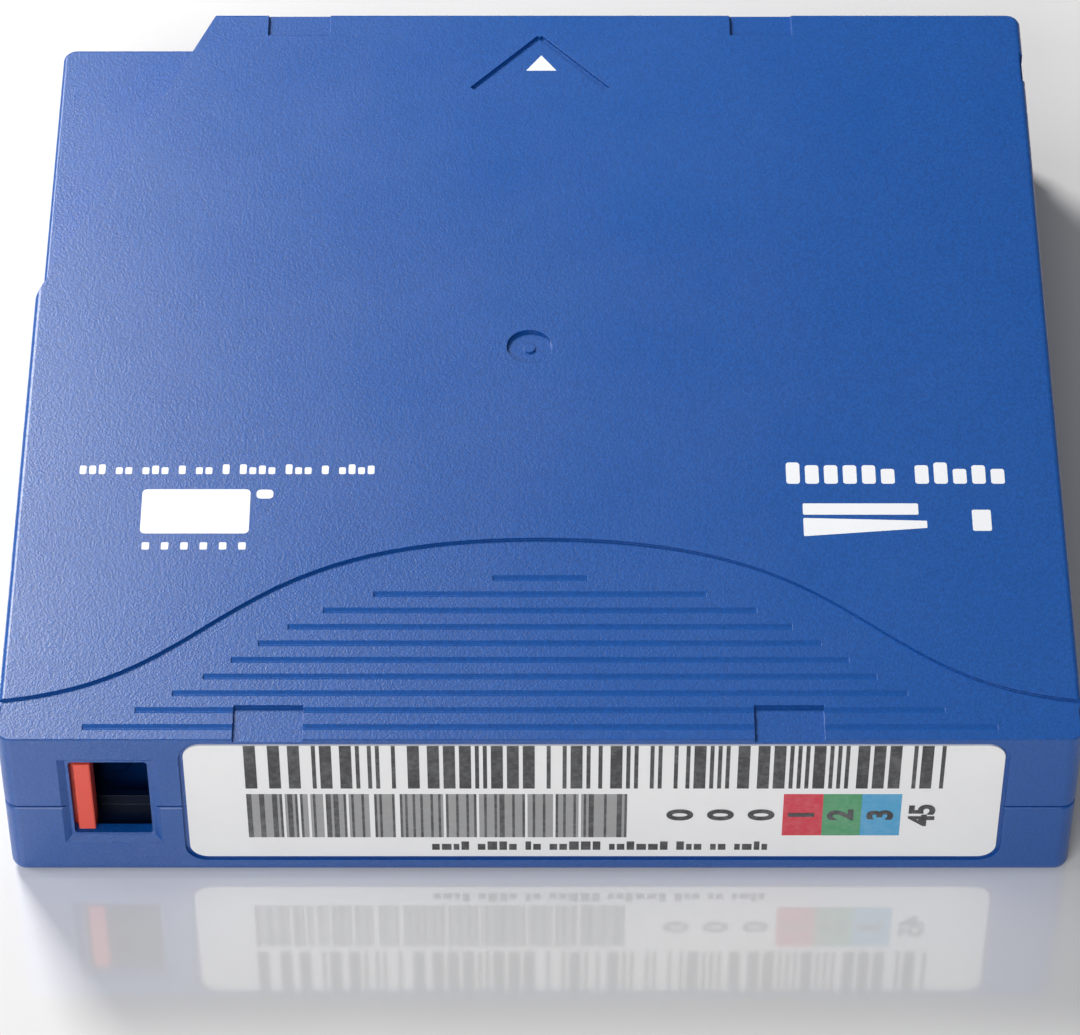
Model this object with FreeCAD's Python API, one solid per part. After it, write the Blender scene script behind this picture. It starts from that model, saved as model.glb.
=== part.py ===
import FreeCAD, Part
import math
import os

# Data tape cartridge: one reel of half-inch tape in a two-part moulded case.
# Sizes are in millimetres.  The origin is the centre of the underside and +Z is
# up.  The label is on the -Y side, and the +Y side goes into the drive first.
# OVERCUT is how far a cutting body runs past a face, WELD how far bodies that
# are fused reach into each other, and CLOSE the tolerance for picking edges.

V = FreeCAD.Vector
UP = V(0, 0, 1)
OVERCUT = 1.0
WELD = 0.1
CLOSE = 0.01

# Case, outside
case_width = 105.4
case_depth = 102.0
case_height = 21.5
parting_height = 10.4
corner_radius = 1.5
top_edge_radius = 0.6
bottom_edge_radius = 1.2

# Case, walls and the joint between the halves
side_wall = 1.6
roof_thickness = 1.8
floor_thickness = 2.0
inner_corner_radius = 0.8
lip_thickness = 0.7
lip_height = 0.9
lip_clearance = 0.06
parting_upper_bevel = 0.4
parting_lower_bevel = 0.15

# Insertion guide: the stepped-down corner at -X +Y
guide_reach_x = 17.2
guide_reach_y = 43.0
guide_step = 5.5
guide_wall = 1.5
guide_edge_radius = 0.4

# Top face: grip panel, its ribs, arrow groove and gate mark
panel_depth = 0.3
panel_crest_y = -25.4
panel_foot_y = -46.5
panel_half_span = 58.0
panel_crest_handle = 35.8
panel_foot_handle = 28.2
rib_count = 10
rib_pitch = 2.11
rib_first_y = -30.44
rib_margin = 4.9
rib_width = 0.75
rib_depth = 0.17
arrow_tip_y = 47.2
arrow_reach = 10.9
arrow_half_angle = 42.0
arrow_groove_width = 0.7
arrow_groove_depth = 0.35
gate_mark_radius = 2.35
gate_mark_depth = 0.4
gate_nub_radius = 0.6

# Stacking notches on the top edges, and finger notches on the sides
notch_half_spacing = 25.3
notch_width = 6.8
far_notch_length = 3.5
far_notch_depth = 0.5
near_notch_length = 4.3
near_notch_depth = 0.7
side_notch_offset = 1.5
side_notch_width = 2.6
side_notch_depth = 0.35
door_notch_offset = 6.2
door_notch_width = 4.3
door_notch_depth = 0.4
foot_relief_width = 37.0
foot_relief_depth = 1.2
foot_relief_height = 0.4

# Label and its recess on the near face
label_width = 79.9
label_height = 17.6
label_thickness = 0.2
label_corner_radius = 1.8
label_right_margin = 7.5
label_base = 2.5
label_recess_depth = 0.35
label_recess_margin = 0.45

# Reel
reel_offset_x = 1.1
reel_offset_y = 0.8
reel_clearance = 0.8
running_gap = 0.05
seat_height = 0.9
seat_inner_radius = 17.8
seat_outer_radius = 20.6
hub_radius = 22.0
hub_wall = 2.4
flange_thickness = 1.3
tape_width = 12.65
tape_side_gap = 0.1
tape_to_rim = 1.3
centring_rib_height = 0.65
centring_rib_width = 0.7
centring_clearance = 0.3
web_thickness = 1.4
drive_tooth_height = 1.1
drive_ring_height = 1.15
drive_ring_inner_radius = 12.65
drive_ring_outer_radius = 16.8
drive_plate_thickness = 1.5
drive_plate_hole_radius = 3.2
flange_spigot_height = 0.9
flange_spigot_wall = 0.8
press_gap = 0.05

# Reel brake: face teeth on the hub and on the brake button, and the release pad
drive_tooth_count = 60
brake_tooth_count = 36
brake_inner_radius = 14.2
brake_outer_radius = 18.2
brake_tooth_height = 0.95
brake_tooth_taper = 0.52
drive_tooth_taper = 0.33
tooth_spread = 1.3
tooth_root_overlap = 0.3
tooth_mesh_gap = 0.05
tooth_ring_margin = 0.35
brake_travel = 2.0
brake_disc_thickness = 1.5
brake_disc_rim = 0.6
brake_rim_width = 0.9
brake_rim_height = 1.2
brake_rib_count = 6
brake_rib_width = 1.0
brake_rib_height = 0.85
brake_rib_start = 0.3
socket_radius = 4.6
socket_height = 5.4
socket_floor = 1.3
key_span = 6.4
key_width = 1.8
key_clearance = 0.08
key_end_gap = 0.2
spring_seat_gap = 0.2
spring_seat_wall = 0.8
spring_seat_height = 1.0
brake_spring_clearance = 0.6
brake_spring_wire = 1.2
pad_rest_gap = 0.1
pad_thickness = 1.5
pad_radius = 11.0
pad_dome_radius = 2.4
pad_dome_tip_radius = 1.45
dome_gap = 0.02
button_boss_radius = 2.2
button_boss_height = 0.88
leg_count = 3
leg_width = 4.4
leg_inner_radius = 13.6
leg_outer_radius = 16.1
leg_clearance = 0.3
leg_recess = 0.4
arm_channel_clearance = 0.5
arm_headroom = 1.1
arm_overlap = 3.0

# Ribs inside the case that fence the reel
fence_radius_gap = 0.9
fence_thickness = 1.1
fence_gap = 0.2
fence_half_angle = 24.0
gusset_thickness = 1.0

# Case screws, driven from below near the four corners
screw_reach_x = 42.9
screw_reach_y = 38.4
far_right_screw_back = 4.0
far_right_screw_in = 16.6
far_left_screw_x = 42.3
far_left_screw_y = 39.8
screw_head_radius = 1.9
screw_head_height = 1.45
screw_head_clearance = 0.2
screw_tip_gap = 0.3
screw_shank_radius = 1.0
screw_length = 7.8
screw_floor = 5.4
screw_hole_clearance = 0.12
screw_thread_clearance = 0.02
lower_boss_radius = 3.0
upper_boss_radius = 2.6
driver_slot_length = 2.4
driver_slot_width = 0.6
driver_slot_depth = 0.9

# Locating holes in the underside
locating_radius = 2.5
locating_depth = 4.0
locating_wall = 0.9
locating_from_far = 18.0
locating_from_left = 6.2
locating_from_right = 12.1
locating_slot_length = 6.0

# Write-protect window and slider
window_left_margin = 6.7
window_width = 7.7
window_base = 5.9
window_height = 11.15
window_bevel = 1.0
window_bevel_depth = 0.5
window_bevel_foot = 0.3
window_corner_radius = 0.4
slider_end_gap = 0.3
slider_thickness = 1.75
slider_overlap = 0.65
slider_clearance = 0.05
grip_width = 1.7
grip_height = 1.05
grip_end_gap = 0.5
grip_side_gap = 0.4
grip_edge_radius = 0.2
slider_rail = 0.8
slider_rail_overlap = 1.3
slider_rail_run_on = 1.4
slider_back_gap = 1.2
slider_foot_inset = 1.0
slider_foot_height = 1.2
slider_corner_radius = 0.3

# Access door, its guides, spring and opening
door_thickness = 1.2
door_wall_gap = 0.15
door_end_gap = 0.4
door_height_gap = 0.15
door_overlap = 1.2
door_clear_travel = 0.2
opening_far_margin = 2.8
opening_length = 12.2
opening_clearance = 0.2
door_lug_width = 1.3
door_lug_length = 2.4
door_lug_height = 0.8
door_lug_inset = 0.4
door_guide_clearance = 0.05
door_guide_depth = 1.0
door_guide_end_gap = 0.4
door_tab_width = 3.0
door_tab_thickness = 1.2
door_tab_height = 4.6
door_groove_width = 0.8
door_groove_depth = 0.3
door_groove_count = 3
door_groove_end_gap = 2.0
opener_slot_width = 3.4
opener_slot_height = 6.0
spring_radius = 1.3
spring_wire = 0.45
spring_end_gap = 0.03
spring_wall_gap = 0.2
spring_peg_radius = 0.75
spring_peg_length = 3.0
spring_free_length = 29.6
spring_post_thickness = 1.2
spring_post_margin = 0.3

# Leader pin, its clamp and springs
pin_length = 16.4
pin_radius = 1.25
pin_disc_radius = 2.7
pin_disc_thickness = 1.0
pin_to_door = 1.7
pin_seat_gap = 0.03
pin_pad_radius = 3.3
clamp_wall = 0.65
clamp_gap = 0.05
clamp_slot = 1.0
leader_thickness = 0.2
leader_clearance = 0.3
pin_spring_thickness = 0.3
pin_spring_height = 0.8
pin_spring_clearance = 0.06
pin_spring_mouth_angle = 50.0
pin_spring_tail = 2.7
pin_spring_tail_past_post = 0.2
pin_post_length = 2.4
pin_post_width = 2.4
pin_post_height = 1.9
pin_post_slot_clearance = 0.05

# Memory module, propped at 45 degrees in the near right corner
board_length = 12.0
board_width = 9.0
board_thickness = 0.8
board_right_gap = 1.2
board_prop = 6.5
board_seat_gap = 0.03
board_rib_thickness = 1.2
board_rib_inset = 0.8
board_keeper_gap = 0.3
board_keeper_width = 3.0
board_keeper_reach = 1.6
chip_size = 3.2
chip_thickness = 0.7

# Worked-out sizes that several pieces share
half_width = case_width / 2
half_depth = case_depth / 2
inner_x = half_width - side_wall
inner_y = half_depth - side_wall
floor_top = floor_thickness
roof_under = case_height - roof_thickness
guide_top = case_height - guide_step
guide_roof_under = guide_top - roof_thickness
reel_x = -reel_offset_x
reel_y = reel_offset_y
REEL = V(reel_x, reel_y, 0)

guide_far_point = V(-half_width + guide_reach_x, half_depth, 0)
guide_side_point = V(-half_width, half_depth - guide_reach_y, 0)
guide_along = (guide_far_point - guide_side_point).normalize()
guide_out = V(-guide_along.y, guide_along.x, 0)
guide_distance = (guide_far_point - REEL).dot(guide_out)

flange_radius = min(inner_x - reel_offset_x, inner_y - reel_offset_y, guide_distance - guide_wall)
flange_radius -= reel_clearance
pack_radius = flange_radius - tape_to_rim
hub_bore_radius = hub_radius - hub_wall

seat_top = floor_top + seat_height
reel_base = seat_top + running_gap
flange_top = reel_base + flange_thickness
tape_base = flange_top + tape_side_gap
tape_top = tape_base + tape_width
upper_flange_base = tape_top + tape_side_gap
reel_top = upper_flange_base + flange_thickness
drive_root = reel_base + drive_tooth_height
web_base = drive_root + drive_ring_height
web_top = web_base + web_thickness

pad_base = web_top + pad_rest_gap
pad_top = pad_base + pad_thickness
hub_tooth_root = pad_top + arm_headroom
hub_tooth_tip = hub_tooth_root + brake_tooth_height
brake_root = hub_tooth_tip + tooth_mesh_gap
pad_dome_top = brake_root - button_boss_height - dome_gap
brake_top = brake_root + brake_disc_thickness
socket_bottom = brake_root + socket_floor
socket_top = brake_top + socket_height
brake_disc_radius = brake_outer_radius + brake_disc_rim
brake_spring_inner = socket_radius + brake_spring_clearance
brake_spring_outer = brake_spring_inner + brake_spring_wire

fence_inner = flange_radius + fence_radius_gap
fence_outer = fence_inner + fence_thickness

opening_y1 = half_depth - opening_far_margin
opening_y0 = opening_y1 - opening_length
door_outer_x = inner_x - door_wall_gap
door_inner_x = door_outer_x - door_thickness
door_centre_x = (door_outer_x + door_inner_x) / 2
door_y1 = inner_y - door_end_gap
door_y0 = opening_y0 - door_overlap
door_travel = door_y1 - opening_y0 + door_clear_travel
door_z0 = floor_top + door_height_gap
door_z1 = roof_under - door_height_gap
spring_x = door_outer_x - spring_wall_gap - spring_radius
spring_z = (door_z0 + door_z1) / 2
spring_far_y = door_y0
spring_near_y = spring_far_y - spring_free_length

tape_middle = (tape_base + tape_top) / 2
pin_base = tape_middle - pin_length / 2
pin_top = tape_middle + pin_length / 2
pin_x = door_inner_x - pin_to_door - pin_disc_radius
pin_y = (opening_y0 + opening_y1) / 2
PIN = V(pin_x, pin_y, 0)
clamp_inner = pin_radius + clamp_gap
clamp_outer = clamp_inner + clamp_wall
pin_leaf_inner = pin_disc_radius + pin_spring_clearance
pin_leaf_outer = pin_leaf_inner + pin_spring_thickness
pin_post_x = pin_x - pin_leaf_outer - pin_spring_tail + pin_spring_tail_past_post

leader_radius = pack_radius + leader_clearance + leader_thickness / 2

window_x0 = -half_width + window_left_margin
window_x1 = window_x0 + window_width
window_z0 = window_base
window_z1 = window_base + window_height
slider_x1 = window_x0 + grip_side_gap + grip_width
slider_x0 = -inner_x + slider_end_gap
slider_y0 = -inner_y + slider_clearance
slider_y1 = slider_y0 + slider_thickness
slider_z0 = window_z0 - slider_overlap
slider_z1 = window_z1 + slider_overlap
rail_y0 = slider_y1 + slider_back_gap
rail_y1 = rail_y0 + slider_rail

label_x1 = half_width - label_right_margin
label_x0 = label_x1 - label_width
label_z0 = label_base
label_z1 = label_base + label_height
label_back = -half_depth + label_recess_depth

board_x1 = inner_x - board_right_gap
board_x0 = board_x1 - board_length

screw_spots = [
    V(reel_x - screw_reach_x, reel_y - screw_reach_y, 0),
    V(reel_x + screw_reach_x, reel_y - screw_reach_y, 0),
    V(inner_x - far_right_screw_in, inner_y - far_right_screw_back, 0),
    V(reel_x - far_left_screw_x, reel_y + far_left_screw_y, 0),
]

locating_y = half_depth - locating_from_far
locating_left = V(-half_width + locating_from_left, locating_y, 0)
locating_right = V(half_width - locating_from_right, locating_y, 0)


# ---------------------------------------------------------------- helpers

def block(x0, x1, y0, y1, z0, z1):
    """Box between two corners."""
    return Part.makeBox(x1 - x0, y1 - y0, z1 - z0, V(x0, y0, z0))


def disc(radius, z0, z1, centre):
    """Upright cylinder."""
    return Part.makeCylinder(radius, z1 - z0, V(centre.x, centre.y, z0))


def ring(inner, outer, z0, z1, centre):
    """Upright tube."""
    return disc(outer, z0, z1, centre).cut(disc(inner, z0 - OVERCUT, z1 + OVERCUT, centre))


def prism(points, z0, z1):
    """Upright prism on a closed outline of points in plan."""
    outline = [V(p.x, p.y, z0) for p in points]
    face = Part.Face(Part.makePolygon(outline + outline[:1]))
    return face.extrude(V(0, 0, z1 - z0))


def revolved(profile, centre):
    """Solid of revolution about an upright axis from (radius, height) points."""
    outline = [V(centre.x + r, centre.y, z) for r, z in profile]
    face = Part.Face(Part.makePolygon(outline + outline[:1]))
    return face.revolve(V(centre.x, centre.y, 0), UP, 360)


def edges_where(shape, test):
    """Edges of a shape whose bounding box passes a test."""
    return [edge for edge in shape.Edges if test(edge.BoundBox)]


def rounded_block(x0, x1, y0, y1, z0, z1, radius):
    """Box with rounded upright corners."""
    body = block(x0, x1, y0, y1, z0, z1)
    upright = edges_where(body, lambda box: box.ZLength > (z1 - z0) / 2)
    return body.makeFillet(radius, upright)


def inset_block(inset, z0, z1, radius):
    """Upright block that follows the case outline, set in from it."""
    x = half_width - inset
    y = half_depth - inset
    return rounded_block(-x, x, -y, y, z0, z1, radius)


def outline_wire(inset, z, radius):
    """Case outline at one height, set in from the outer face."""
    slab = inset_block(inset, z, z + 1, radius)
    bottom = min(slab.Faces, key=lambda face: face.CenterOfMass.z)
    return bottom.OuterWire


def fused(shapes):
    """Union of several shapes as one solid."""
    body = shapes[0].multiFuse(shapes[1:]) if len(shapes) > 1 else shapes[0]
    return body.removeSplitter()


def polar(shape, count, centre):
    """Copies of a shape turned evenly about an upright axis."""
    copies = []
    for index in range(count):
        copy = shape.copy()
        copy.rotate(centre, UP, 360.0 * index / count)
        copies.append(copy)
    return copies


def sector(radius, middle_angle, half_angle, z0, z1, centre):
    """Pie-shaped prism about an upright axis."""
    pie = Part.makeCylinder(radius, z1 - z0, V(0, 0, 0), UP, 2 * half_angle)
    pie.rotate(V(0, 0, 0), UP, middle_angle - half_angle)
    pie.translate(V(centre.x, centre.y, z0))
    return pie


def slot_prism(length, width, z0, z1, centre):
    """Round-ended upright slot along X."""
    half = (length - width) / 2
    left = disc(width / 2, z0, z1, centre - V(half, 0, 0))
    right = disc(width / 2, z0, z1, centre + V(half, 0, 0))
    middle = block(centre.x - half, centre.x + half,
                   centre.y - width / 2, centre.y + width / 2, z0, z1)
    return fused([left, right, middle])


def near_face_block(x0, x1, z0, z1, y0, y1, radius):
    """Block with its corners rounded as seen from the near side."""
    body = block(x0, x1, y0, y1, z0, z1)
    corners = edges_where(body, lambda box: box.YLength > (y1 - y0) / 2)
    return body.makeFillet(radius, corners)


def flat_sided(near, far):
    """Solid between two matching outlines, closed with flat faces."""
    count = len(near)
    faces = [Part.Face(Part.makePolygon(near + near[:1])), Part.Face(Part.makePolygon(far + far[:1]))]
    for index in range(count):
        following = (index + 1) % count
        side = [near[index], near[following], far[following], far[index], near[index]]
        faces.append(Part.Face(Part.makePolygon(side)))
    body = Part.Solid(Part.Shell(faces))
    body.fixTolerance(1e-7)
    return body if body.Volume > 0 else body.reversed()


def tooth_outline(radius, count, taper, z_root, z_tip):
    """Cross-section of one face tooth at a radius, in a plane square to X."""
    root_half = radius * math.pi / count / 2 * tooth_spread
    tip_half = root_half - taper
    buried = z_root - math.copysign(tooth_root_overlap, z_tip - z_root)
    return [V(radius, -root_half, buried), V(radius, -root_half, z_root),
            V(radius, -tip_half, z_tip), V(radius, tip_half, z_tip),
            V(radius, root_half, z_root), V(radius, root_half, buried)]


def face_teeth(inner, outer, count, taper, z_root, z_tip, first_angle):
    """Ring of face teeth with flat flanks round the reel's axis, ready to fuse."""
    tooth = flat_sided(tooth_outline(inner, count, taper, z_root, z_tip),
                       tooth_outline(outer, count, taper, z_root, z_tip))
    tooth.rotate(V(0, 0, 0), UP, first_angle)
    tooth.translate(REEL)
    return polar(tooth, count, REEL)


# ---------------------------------------------------------------- case

def case_body():
    """Solid block with the rounded outside of the whole case."""
    body = inset_block(0, 0, case_height, corner_radius)
    top = edges_where(body, lambda box: box.ZMin > case_height - CLOSE)
    body = body.makeFillet(top_edge_radius, top)
    bottom = edges_where(body, lambda box: box.ZMax < CLOSE)
    return body.makeFillet(bottom_edge_radius, bottom)


def guide_prism(inset, z0, z1):
    """Space outside the slanted wall of the insertion guide."""
    shift = guide_out * -inset
    near = guide_side_point + shift - guide_along * case_width
    far = guide_far_point + shift + guide_along * case_width
    away = guide_out * case_width
    return prism([near, far, far + away, near + away], z0, z1)


def parting_bevel_tool(rise):
    """Ring that bevels a case half's outer edge at the parting line, up or down from it."""
    bevel = abs(rise)
    kept = Part.makeLoft([outline_wire(bevel, parting_height, corner_radius - bevel),
                          outline_wire(0, parting_height + rise, corner_radius)], True, True)
    low, high = sorted((parting_height, parting_height + rise))
    slab = block(-case_width, case_width, -case_depth, case_depth, low, high)
    return slab.cut(kept)


def panel_outline(z):
    """Outline of the grip panel: a bell curve closed beyond the near edge."""
    y0 = panel_crest_y
    y1 = panel_foot_y
    span = panel_half_span
    right = Part.BezierCurve()
    right.setPoles([V(0, y0, z), V(panel_crest_handle, y0, z),
                    V(span - panel_foot_handle, y1, z), V(span, y1, z)])
    left = Part.BezierCurve()
    left.setPoles([V(-span, y1, z), V(panel_foot_handle - span, y1, z),
                   V(-panel_crest_handle, y0, z), V(0, y0, z)])
    below = -case_depth
    straight = Part.makePolygon([V(span, y1, z), V(span, below, z),
                                 V(-span, below, z), V(-span, y1, z)])
    return Part.Wire([left.toShape(), right.toShape()] + straight.Edges)


def rib_half_length(y, z):
    """Half length of a rib that keeps its margin inside the bell curve and the case."""
    field = Part.Face(panel_outline(z).makeOffset2D(-rib_margin))
    across = Part.makeLine(V(-half_width, y, z), V(half_width, y, z)).common(field)
    return min(across.BoundBox.XMax, half_width - 2 * top_edge_radius)


def rib_groove(y, half_length, z):
    """V-shaped groove across the grip panel."""
    half = rib_width / 2
    lid = z + rib_depth
    section = [V(0, y - half, lid), V(0, y - half, z), V(0, y, z - rib_depth),
               V(0, y + half, z), V(0, y + half, lid)]
    face = Part.Face(Part.makePolygon(section + section[:1]))
    groove = face.extrude(V(2 * half_length, 0, 0))
    groove.translate(V(-half_length, 0, 0))
    return groove


def arrow_groove():
    """Two joined grooves in the top that point towards the drive."""
    arms = []
    for side in (-1, 1):
        arm = block(-arrow_groove_width / 2, arrow_groove_width / 2, -arrow_reach, 0,
                    case_height - arrow_groove_depth, case_height + OVERCUT)
        arm.rotate(V(0, 0, 0), UP, side * arrow_half_angle)
        arm.translate(V(0, arrow_tip_y, 0))
        arms.append(arm)
    return fused(arms)


def gate_mark():
    """Round sunk mark over the reel's axis, with a small nub left in it."""
    low = case_height - gate_mark_depth
    nub = disc(gate_nub_radius, low - OVERCUT, low + gate_mark_depth / 2, REEL)
    return disc(gate_mark_radius, low, case_height + OVERCUT, REEL).cut(nub)


def top_face_cuts():
    """Everything sunk into the top face."""
    panel_floor = case_height - panel_depth
    panel = Part.Face(panel_outline(panel_floor)).extrude(V(0, 0, panel_depth + OVERCUT))
    cuts = [panel, arrow_groove(), gate_mark()]
    for index in range(rib_count):
        y = rib_first_y - index * rib_pitch
        cuts.append(rib_groove(y, rib_half_length(y, panel_floor), panel_floor))
    for side in (-1, 1):
        x = reel_x + side * notch_half_spacing
        cuts.append(block(x - notch_width / 2, x + notch_width / 2,
                          half_depth - far_notch_length, half_depth + OVERCUT,
                          case_height - far_notch_depth, case_height + OVERCUT))
        cuts.append(block(x - notch_width / 2, x + notch_width / 2,
                          -half_depth - OVERCUT, -half_depth + near_notch_length,
                          case_height - near_notch_depth, case_height + OVERCUT))
    return cuts


def side_cuts():
    """Shallow notches in the two sides and the relief under the near edge."""
    y = -half_depth + side_notch_offset
    x = half_width - side_notch_depth
    cuts = [block(x, half_width + OVERCUT, y, y + side_notch_width, -OVERCUT, case_height + OVERCUT),
            block(-half_width - OVERCUT, -x, y, y + side_notch_width, -OVERCUT, case_height + OVERCUT)]
    door_y = half_depth - door_notch_offset
    cuts.append(block(half_width - door_notch_depth, half_width + OVERCUT,
                      door_y - door_notch_width, door_y, roof_under, case_height + OVERCUT))
    cuts.append(block(reel_x - foot_relief_width / 2, reel_x + foot_relief_width / 2,
                      -half_depth - OVERCUT, -half_depth + foot_relief_depth,
                      -OVERCUT, foot_relief_height))
    return cuts


def label_recess():
    """Sunk field for the label on the near face."""
    margin = label_recess_margin
    return near_face_block(label_x0 - margin, label_x1 + margin, label_z0 - margin, label_z1 + margin,
                           -half_depth - OVERCUT, label_back, label_corner_radius + margin)


def window_wire(spread, y):
    """Rectangle round the write-protect window, spread outwards."""
    corners = [V(window_x0 - spread, y, window_z0 - spread), V(window_x1 + spread, y, window_z0 - spread),
               V(window_x1 + spread, y, window_z1 + spread), V(window_x0 - spread, y, window_z1 + spread)]
    return Part.makePolygon(corners + corners[:1])


def window_cuts():
    """Write-protect window through the near wall, with a bevelled surround."""
    through = near_face_block(window_x0, window_x1, window_z0, window_z1,
                              -half_depth - OVERCUT, -inner_y + OVERCUT, window_corner_radius)
    face_y = -half_depth
    surround = Part.makeLoft([window_wire(window_bevel, face_y),
                              window_wire(window_bevel_foot, face_y + window_bevel_depth)], True, True)
    return [through, surround]


def door_cuts():
    """Tape opening in the +X wall and the slot for the drive's door opener."""
    opening = block(inner_x - OVERCUT, half_width + OVERCUT, opening_y0, opening_y1,
                    pin_base - opening_clearance, pin_top + opening_clearance)
    slot = block(half_width - opener_slot_width, half_width + OVERCUT, inner_y - OVERCUT,
                 half_depth + OVERCUT, spring_z - opener_slot_height / 2, spring_z + opener_slot_height / 2)
    return [opening, slot]


def door_guides(z0, z1):
    """Groove for the door's lugs, along the +X wall."""
    half = door_lug_width / 2 + door_guide_clearance
    y0 = door_y0 + door_lug_inset - door_travel - door_guide_end_gap
    return block(door_centre_x - half, door_centre_x + half, y0, door_y1, z0, z1)


def fence(z0, z1, spots):
    """Arc-shaped ribs that fence the reel in three corners, with gussets to the bosses."""
    pieces = []
    for spot in spots:
        out = spot - REEL
        angle = math.degrees(math.atan2(out.y, out.x))
        arc = ring(fence_inner, fence_outer, z0, z1, REEL)
        arc = arc.common(sector(fence_outer + OVERCUT, angle, fence_half_angle, z0, z1, REEL))
        gusset = block(fence_inner + fence_thickness / 2, out.Length, -gusset_thickness / 2,
                       gusset_thickness / 2, z0, z1)
        gusset.rotate(V(0, 0, 0), UP, angle)
        gusset.translate(V(reel_x, reel_y, 0))
        pieces += [arc, gusset]
    return pieces


def pin_post(z0, z1, slot_z0, slot_z1):
    """Slotted post that grips the tail of a leader pin spring."""
    post = block(pin_post_x - pin_post_length / 2, pin_post_x + pin_post_length / 2,
                 pin_y - pin_post_width / 2, pin_y + pin_post_width / 2, z0, z1)
    half = pin_spring_thickness / 2 + pin_post_slot_clearance
    return post.cut(block(pin_post_x - pin_post_length, pin_post_x + pin_post_length,
                          pin_y - half, pin_y + half, slot_z0, slot_z1))


def board_ribs():
    """Triangular ribs that prop the memory board between floor and near wall."""
    ribs = []
    corner = -inner_y
    for x in (board_x0 + board_rib_inset, board_x1 - board_rib_inset - board_rib_thickness):
        points = [V(x, corner - WELD, floor_top - WELD), V(x, corner + board_prop + WELD, floor_top - WELD),
                  V(x, corner - WELD, floor_top + board_prop + WELD)]
        face = Part.Face(Part.makePolygon(points + points[:1]))
        ribs.append(face.extrude(V(board_rib_thickness, 0, 0)))
    return ribs


def slider_rails(lower):
    """Ledge and back rib that guide the write-protect slider in one case half."""
    x0 = -inner_x - WELD
    x1 = window_x1 + slider_rail_run_on
    near = -inner_y - WELD
    if lower:
        ledge = block(x0, x1, near, rail_y1, floor_top - WELD, slider_z0 - slider_clearance)
        back = block(x0, x1, rail_y0, rail_y1, floor_top - WELD, slider_z0 + slider_rail_overlap)
        return [ledge, back]
    ledge = block(x0, x1, near, rail_y1, slider_z1 + slider_clearance, roof_under + WELD)
    back = block(x0, x1, rail_y0, rail_y1, slider_z1 - slider_rail_overlap, roof_under + WELD)
    return [ledge, back]


def spring_post():
    """Post on the floor that holds the fixed end of the door spring."""
    x0 = spring_x - spring_radius - spring_post_margin
    y0 = spring_near_y - spring_post_thickness
    foot = block(x0, inner_x + WELD, y0, spring_near_y, floor_top - WELD, parting_height - WELD)
    head = block(x0, inner_x - lip_clearance, y0, spring_near_y,
                 parting_height - 2 * WELD, spring_z + spring_radius)
    peg = Part.makeCylinder(spring_peg_radius, spring_peg_length + WELD,
                            V(spring_x, spring_near_y - WELD, spring_z), V(0, 1, 0))
    return [foot, head, peg]


def lower_boss(spot):
    """Screw pillar of the lower half."""
    return disc(lower_boss_radius, floor_top - WELD, parting_height, spot)


def lower_boss_hole(spot):
    """Counterbore and clearance hole of one lower screw pillar."""
    head = disc(screw_head_radius + screw_head_clearance, -OVERCUT, screw_floor, spot)
    shank = disc(screw_shank_radius + screw_hole_clearance, screw_floor - WELD,
                 parting_height + OVERCUT, spot)
    return head.fuse(shank)


def upper_boss(spot):
    """Screw pillar of the upper half, up to the roof or the insertion guide's roof."""
    outside_guide = (spot - guide_far_point).dot(guide_out) > -guide_wall
    top = guide_roof_under if outside_guide else roof_under
    return disc(upper_boss_radius, parting_height, top + WELD, spot)


def upper_boss_hole(spot):
    """Pilot hole of one upper screw pillar."""
    top = screw_floor + screw_length + screw_tip_gap
    return disc(screw_shank_radius + screw_thread_clearance, parting_height - OVERCUT, top, spot)


def make_lower_case():
    """Lower half of the case: floor, walls, reel seat, guides and pillars."""
    body = case_body().common(block(-case_width, case_width, -case_depth, case_depth,
                                    -OVERCUT, parting_height))
    body = body.cut(inset_block(side_wall, floor_top, parting_height + OVERCUT, inner_corner_radius))
    lip = inset_block(side_wall - lip_thickness, parting_height - lip_height, parting_height + lip_height,
                      inner_corner_radius + lip_thickness)
    lip = lip.cut(inset_block(side_wall, parting_height - OVERCUT, parting_height + 2 * lip_height,
                              inner_corner_radius))
    parts = [body, lip]
    parts.append(ring(seat_inner_radius, seat_outer_radius, floor_top - WELD, seat_top, REEL))
    parts += [lower_boss(spot) for spot in screw_spots]
    fenced = [screw_spots[0], screw_spots[1], screw_spots[3]]
    parts += fence(floor_top - WELD, parting_height - fence_gap / 2, fenced)
    parts.append(disc(locating_radius + locating_wall, floor_top - WELD,
                      locating_depth + locating_wall, locating_left))
    parts.append(slot_prism(locating_slot_length + 2 * locating_wall, 2 * (locating_radius + locating_wall),
                            floor_top - WELD, locating_depth + locating_wall, locating_right))
    parts += slider_rails(True)
    parts += board_ribs()
    parts += spring_post()
    parts.append(disc(pin_pad_radius, floor_top - WELD, pin_base - pin_seat_gap, PIN))
    parts.append(pin_post(floor_top - WELD, floor_top + pin_post_height,
                          pin_leaf_z(False) - pin_post_slot_clearance, case_height))
    body = fused(parts)
    cuts = [disc(seat_inner_radius, -OVERCUT, seat_top + OVERCUT, REEL)]
    cuts += [lower_boss_hole(spot) for spot in screw_spots]
    cuts.append(disc(locating_radius, -OVERCUT, locating_depth, locating_left))
    cuts.append(slot_prism(locating_slot_length, 2 * locating_radius, -OVERCUT,
                           locating_depth, locating_right))
    cuts.append(label_recess())
    cuts += window_cuts()
    cuts += door_cuts()
    cuts.append(door_guides(floor_top - door_guide_depth, floor_top + OVERCUT))
    cuts += side_cuts()
    cuts.append(parting_bevel_tool(-parting_lower_bevel))
    return body.cut(cuts).removeSplitter()


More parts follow.
